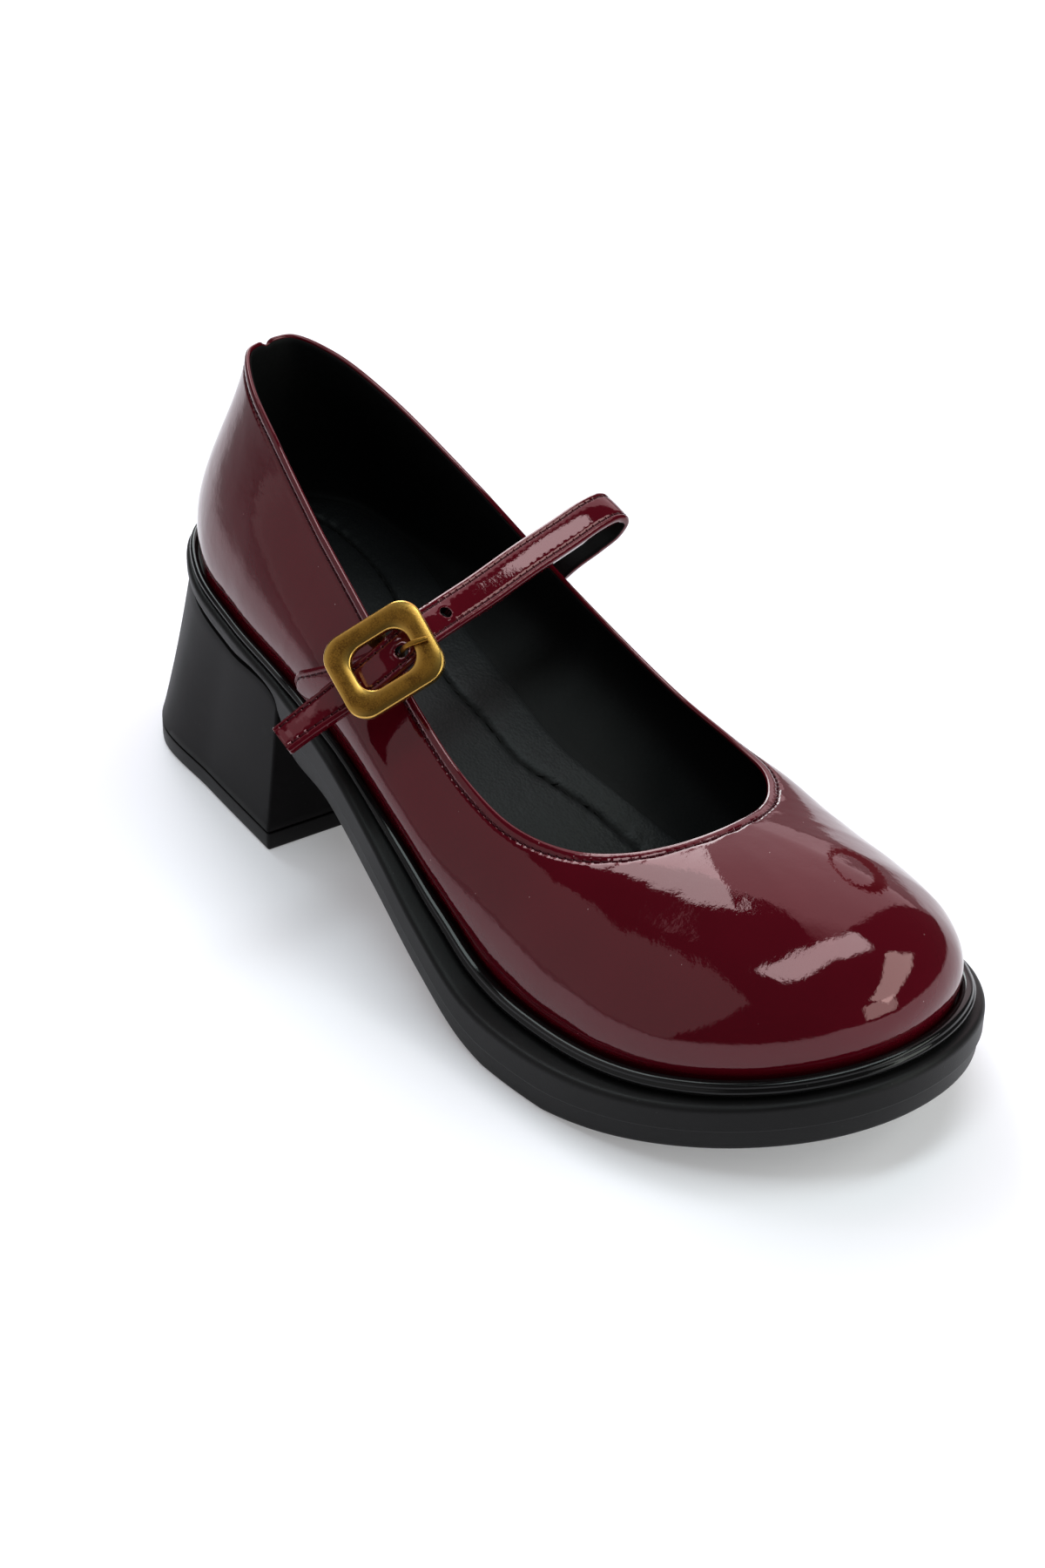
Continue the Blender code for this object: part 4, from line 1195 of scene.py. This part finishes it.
def rubber(name, shade, rough, grain_depth, scuffs, shine):
    finish = Finish(name, Specular_IOR_Level=shine)
    grain = finish.noise(0.45, 3.0, 0.6)
    cloud = finish.noise(14.0, 4.0)
    dust = 1 - finish.cells(3.1).step(0.02, 0.05)
    dark, light = ([share * shade * c for c in RUBBER_TONE] for share in (0.75, 1.3))
    colour = finish.blend(cloud, dark, light)
    colour = finish.blend(dust * 0.35 + cloud.step(0.62, 0.8) * scuffs, colour, (0.10, 0.10, 0.10))
    return finish.feed(Base_Color=colour, Roughness=rough - 0.05 + cloud * 0.10,
                       Normal=finish.bump(grain, grain_depth))


rubber("black sole rubber", 0.0060, 0.46, 0.03, 0.04, 0.15).on(sole_unit, top_piece)
rubber("black heel rubber", 0.0055, 0.42, 0.02, 0.03, 0.045).on(heel_body)
rubber("polished bead rubber", 0.004, 0.13, 0.01, 0.02, 0.24).on(welt)

# %% [markdown]
# ## Antique brass
#
# Aged brass is bright where it is handled and brown in between. The pattern is speckled, so two
# noises of different size mix the dark patina with the metal, and the mark `rim` that we laid
# with the plate keeps its rims worn free of patina and brightens their colour as a painted
# highlight.

# %% Antique brass
def brass(name, patina):
    """Brass with a brown patina between its rims; the mark "rim" is 1 on the worn rims, where the
    colour is also brightened as a painted highlight.
    """
    finish = Finish(name, Metallic=1.0)
    speckle = finish.noise(0.35, 6.0, 0.75)
    cloud = finish.noise(4.0, 3.0)
    rubbed_and_highlit = finish.attribute("rim")
    mask = (speckle + cloud * 0.5 - rubbed_and_highlit * 0.6).step(0.78 - patina, 1.12 - patina)
    # Painted highlight: the rims' colour is brightened, on top of their wear.
    bright = finish.blend(rubbed_and_highlit, (0.30, 0.145, 0.024), (0.60, 0.36, 0.09))
    colour = finish.blend(mask * 0.9, bright, (0.070, 0.027, 0.007))
    rough = 0.36 - rubbed_and_highlit * 0.10 + mask * 0.12
    return finish.feed(Base_Color=colour, Roughness=rough, Normal=finish.bump(speckle, 0.015))


brass("antique brass", 0.17).on(buckle)
brass("bright brass", -0.20).on(prong, bar)

# %% [markdown]
# ## Underside of the strap
#
# The strap and the tab are lined in black. Their faces that look towards the foot get the lining
# as a second material.

# %% Black underside
def line_underside(band, centres, ups):
    band.data.materials.append(lining_black.material)
    for face in band.data.polygons:
        middle = np.array(face.center) / MM - SHIFT
        nearest = size_of(centres - middle).argmin()
        if np.dot(face.normal, ups[nearest]) < -0.4:
            face.material_index = 1


line_underside(strap_band, strap_centres, strap_ups)
line_underside(tab_band, tab_centres, tab_ups)

# %% [markdown]
# ## Floor, light and camera
#
# Patent leather shows its shape by what it mirrors, so the size and place of each lamp are part
# of the look. A long strip hangs overhead and a slanted soft box stands behind the heel: they
# draw the two bright lines. A tall rosy wall beyond the shoe, which fades out upwards, lights
# the far side, two warm lamps beyond the toe light its tip, and a pale panel fills the front.
# The floor is plain, pale and glows a little; painted shade darkens its colour and glow to the
# left, so that the heel mirrors less.

# %% Floor
floor = add(bpy.ops.mesh.primitive_plane_add, size=12.0)
floor.name = "floor"
pale = Finish("pale floor", Roughness=0.9, Emission_Strength=0.24)
# Painted shade: to the left the floor's colour and glow are darkened.
shade = (0 - pale.along("X") * 0.67 - pale.along("Y") * 0.74).step(0.26, 0.44)
bright = pale.blend(pale.noise(40.0, 2.0), (0.80, 0.765, 0.825), (0.82, 0.785, 0.845))
pale.feed(Base_Color=pale.blend(shade, bright, (0.32, 0.31, 0.33)),
          Emission_Color=pale.blend(shade, (1.0, 1.0, 1.0), (0.4, 0.4, 0.4)))
pale.on(floor)

# %% Lamps
SHOE_MIDDLE = Vector((0.0, 0.0, 0.05))


def towards(bearing, height):
    """Direction by its bearing, clockwise from the +Y axis, and its height angle, in degrees."""
    turn, climb = math.radians(bearing), math.radians(height)
    flat = math.cos(climb)
    return Vector((math.sin(turn) * flat, math.cos(turn) * flat, math.sin(climb)))


def hang(name, place, facing, size, radiance, colour, spin=0.0):
    """Hang a flat lamp of a given size; it faces back along the direction it is given."""
    data = bpy.data.lights.new(name, "AREA")
    data.shape = "RECTANGLE"
    data.size, data.size_y = size
    data.energy = radiance * math.pi * data.size * data.size_y
    data.color = colour
    item = bpy.data.objects.new(name, data)
    item.location = place
    spun = Matrix.Rotation(math.radians(spin), 4, facing)
    turned = facing.to_track_quat("Z", "Y").to_matrix().to_4x4()
    item.rotation_euler = (spun @ turned).to_euler()
    bpy.context.scene.collection.objects.link(item)
    print(name, round(data.size, 2), "by", round(data.size_y, 2), "m")


def lamp(name, bearing, height, far, wide, tall, radiance, colour=(1.0, 1.0, 1.0), spin=0.0):
    """A lamp that faces the shoe; wide and tall are its angles as seen from the shoe."""
    ray = towards(bearing, height)
    size = [2 * far * math.tan(math.radians(angle / 2)) for angle in (wide, tall)]
    hang(name, SHOE_MIDDLE + ray * far, ray, size, radiance, colour, spin)


def upright(name, bearing, far, wide, low, high, radiance, colour):
    """A lamp that stands upright like a wall, seen between two height angles."""
    floor_ray = towards(bearing, 0.0)
    foot, head = (far * math.tan(math.radians(angle)) for angle in (low, high))
    place = SHOE_MIDDLE + floor_ray * far + Vector((0.0, 0.0, (foot + head) / 2))
    size = (2 * far * math.tan(math.radians(wide / 2)), head - foot)
    hang(name, place, floor_ray, size, radiance, colour)


COOL, WARM, ROSE = (0.86, 1.0, 1.0), (0.92, 1.0, 0.92), (1.0, 0.80, 0.84)
lamp("overhead strip", 90.5, 85.0, 1.6, 13.5, 53.5, 5.8, COOL, spin=86.5)
lamp("slanted soft box behind the heel", -66.7, 32.2, 1.5, 20.0, 70.0, 5.0, COOL, spin=-27.2)
WALL = (
    ("high wall beyond", 12.0, 68.0, 1.4),
    ("top of the wall 1", 68.0, 71.5, 1.2), ("top of the wall 2", 71.5, 75.0, 0.92),
    ("top of the wall 3", 75.0, 78.5, 0.64), ("top of the wall 4", 78.5, 82.0, 0.34),
    ("low wall beyond", -4.0, 12.0, 0.40),
)
WALL_BEARING, WALL_FAR, WALL_WIDE = -42.0, 1.6, 63.0
for name, low, high, radiance in WALL:
    upright(name, WALL_BEARING, WALL_FAR, WALL_WIDE, low, high, radiance, ROSE)
lamp("glow above the heel", -108.0, 48.0, 1.7, 26.0, 18.0, 0.65, ROSE)
lamp("pale panel in front", -152.0, 23.0, 1.7, 60.0, 56.0, 0.52)
lamp("warm lamp beyond the toe", 61.0, 37.0, 1.5, 50.0, 21.0, 4.2, WARM, spin=26.0)
lamp("low panel beyond the toe", 86.0, 13.5, 1.4, 24.0, 20.0, 3.2, WARM)
world = bpy.data.worlds.new("studio")
world.use_nodes = True
world.node_tree.nodes["Background"].inputs["Color"].default_value = (0.06, 0.06, 0.062, 1.0)
bpy.context.scene.world = world
bpy.context.scene.view_settings.view_transform = "Standard"

# %% Camera
AIM, LENS, ROLL = Vector((0.004, -0.002, 0.038)), 71.0, -1.23
lens = bpy.data.cameras.new("camera")
lens.lens = LENS
camera = bpy.data.objects.new("camera", lens)
camera.location = (0.457, -0.410, 0.453)
view = AIM - camera.location
roll = Matrix.Rotation(math.radians(ROLL), 4, view.normalized())
camera.rotation_euler = (roll @ view.to_track_quat("-Z", "Y").to_matrix().to_4x4()).to_euler()
bpy.context.scene.collection.objects.link(camera)
bpy.context.scene.camera = camera

# %% Update the scene
bpy.context.view_layer.update()
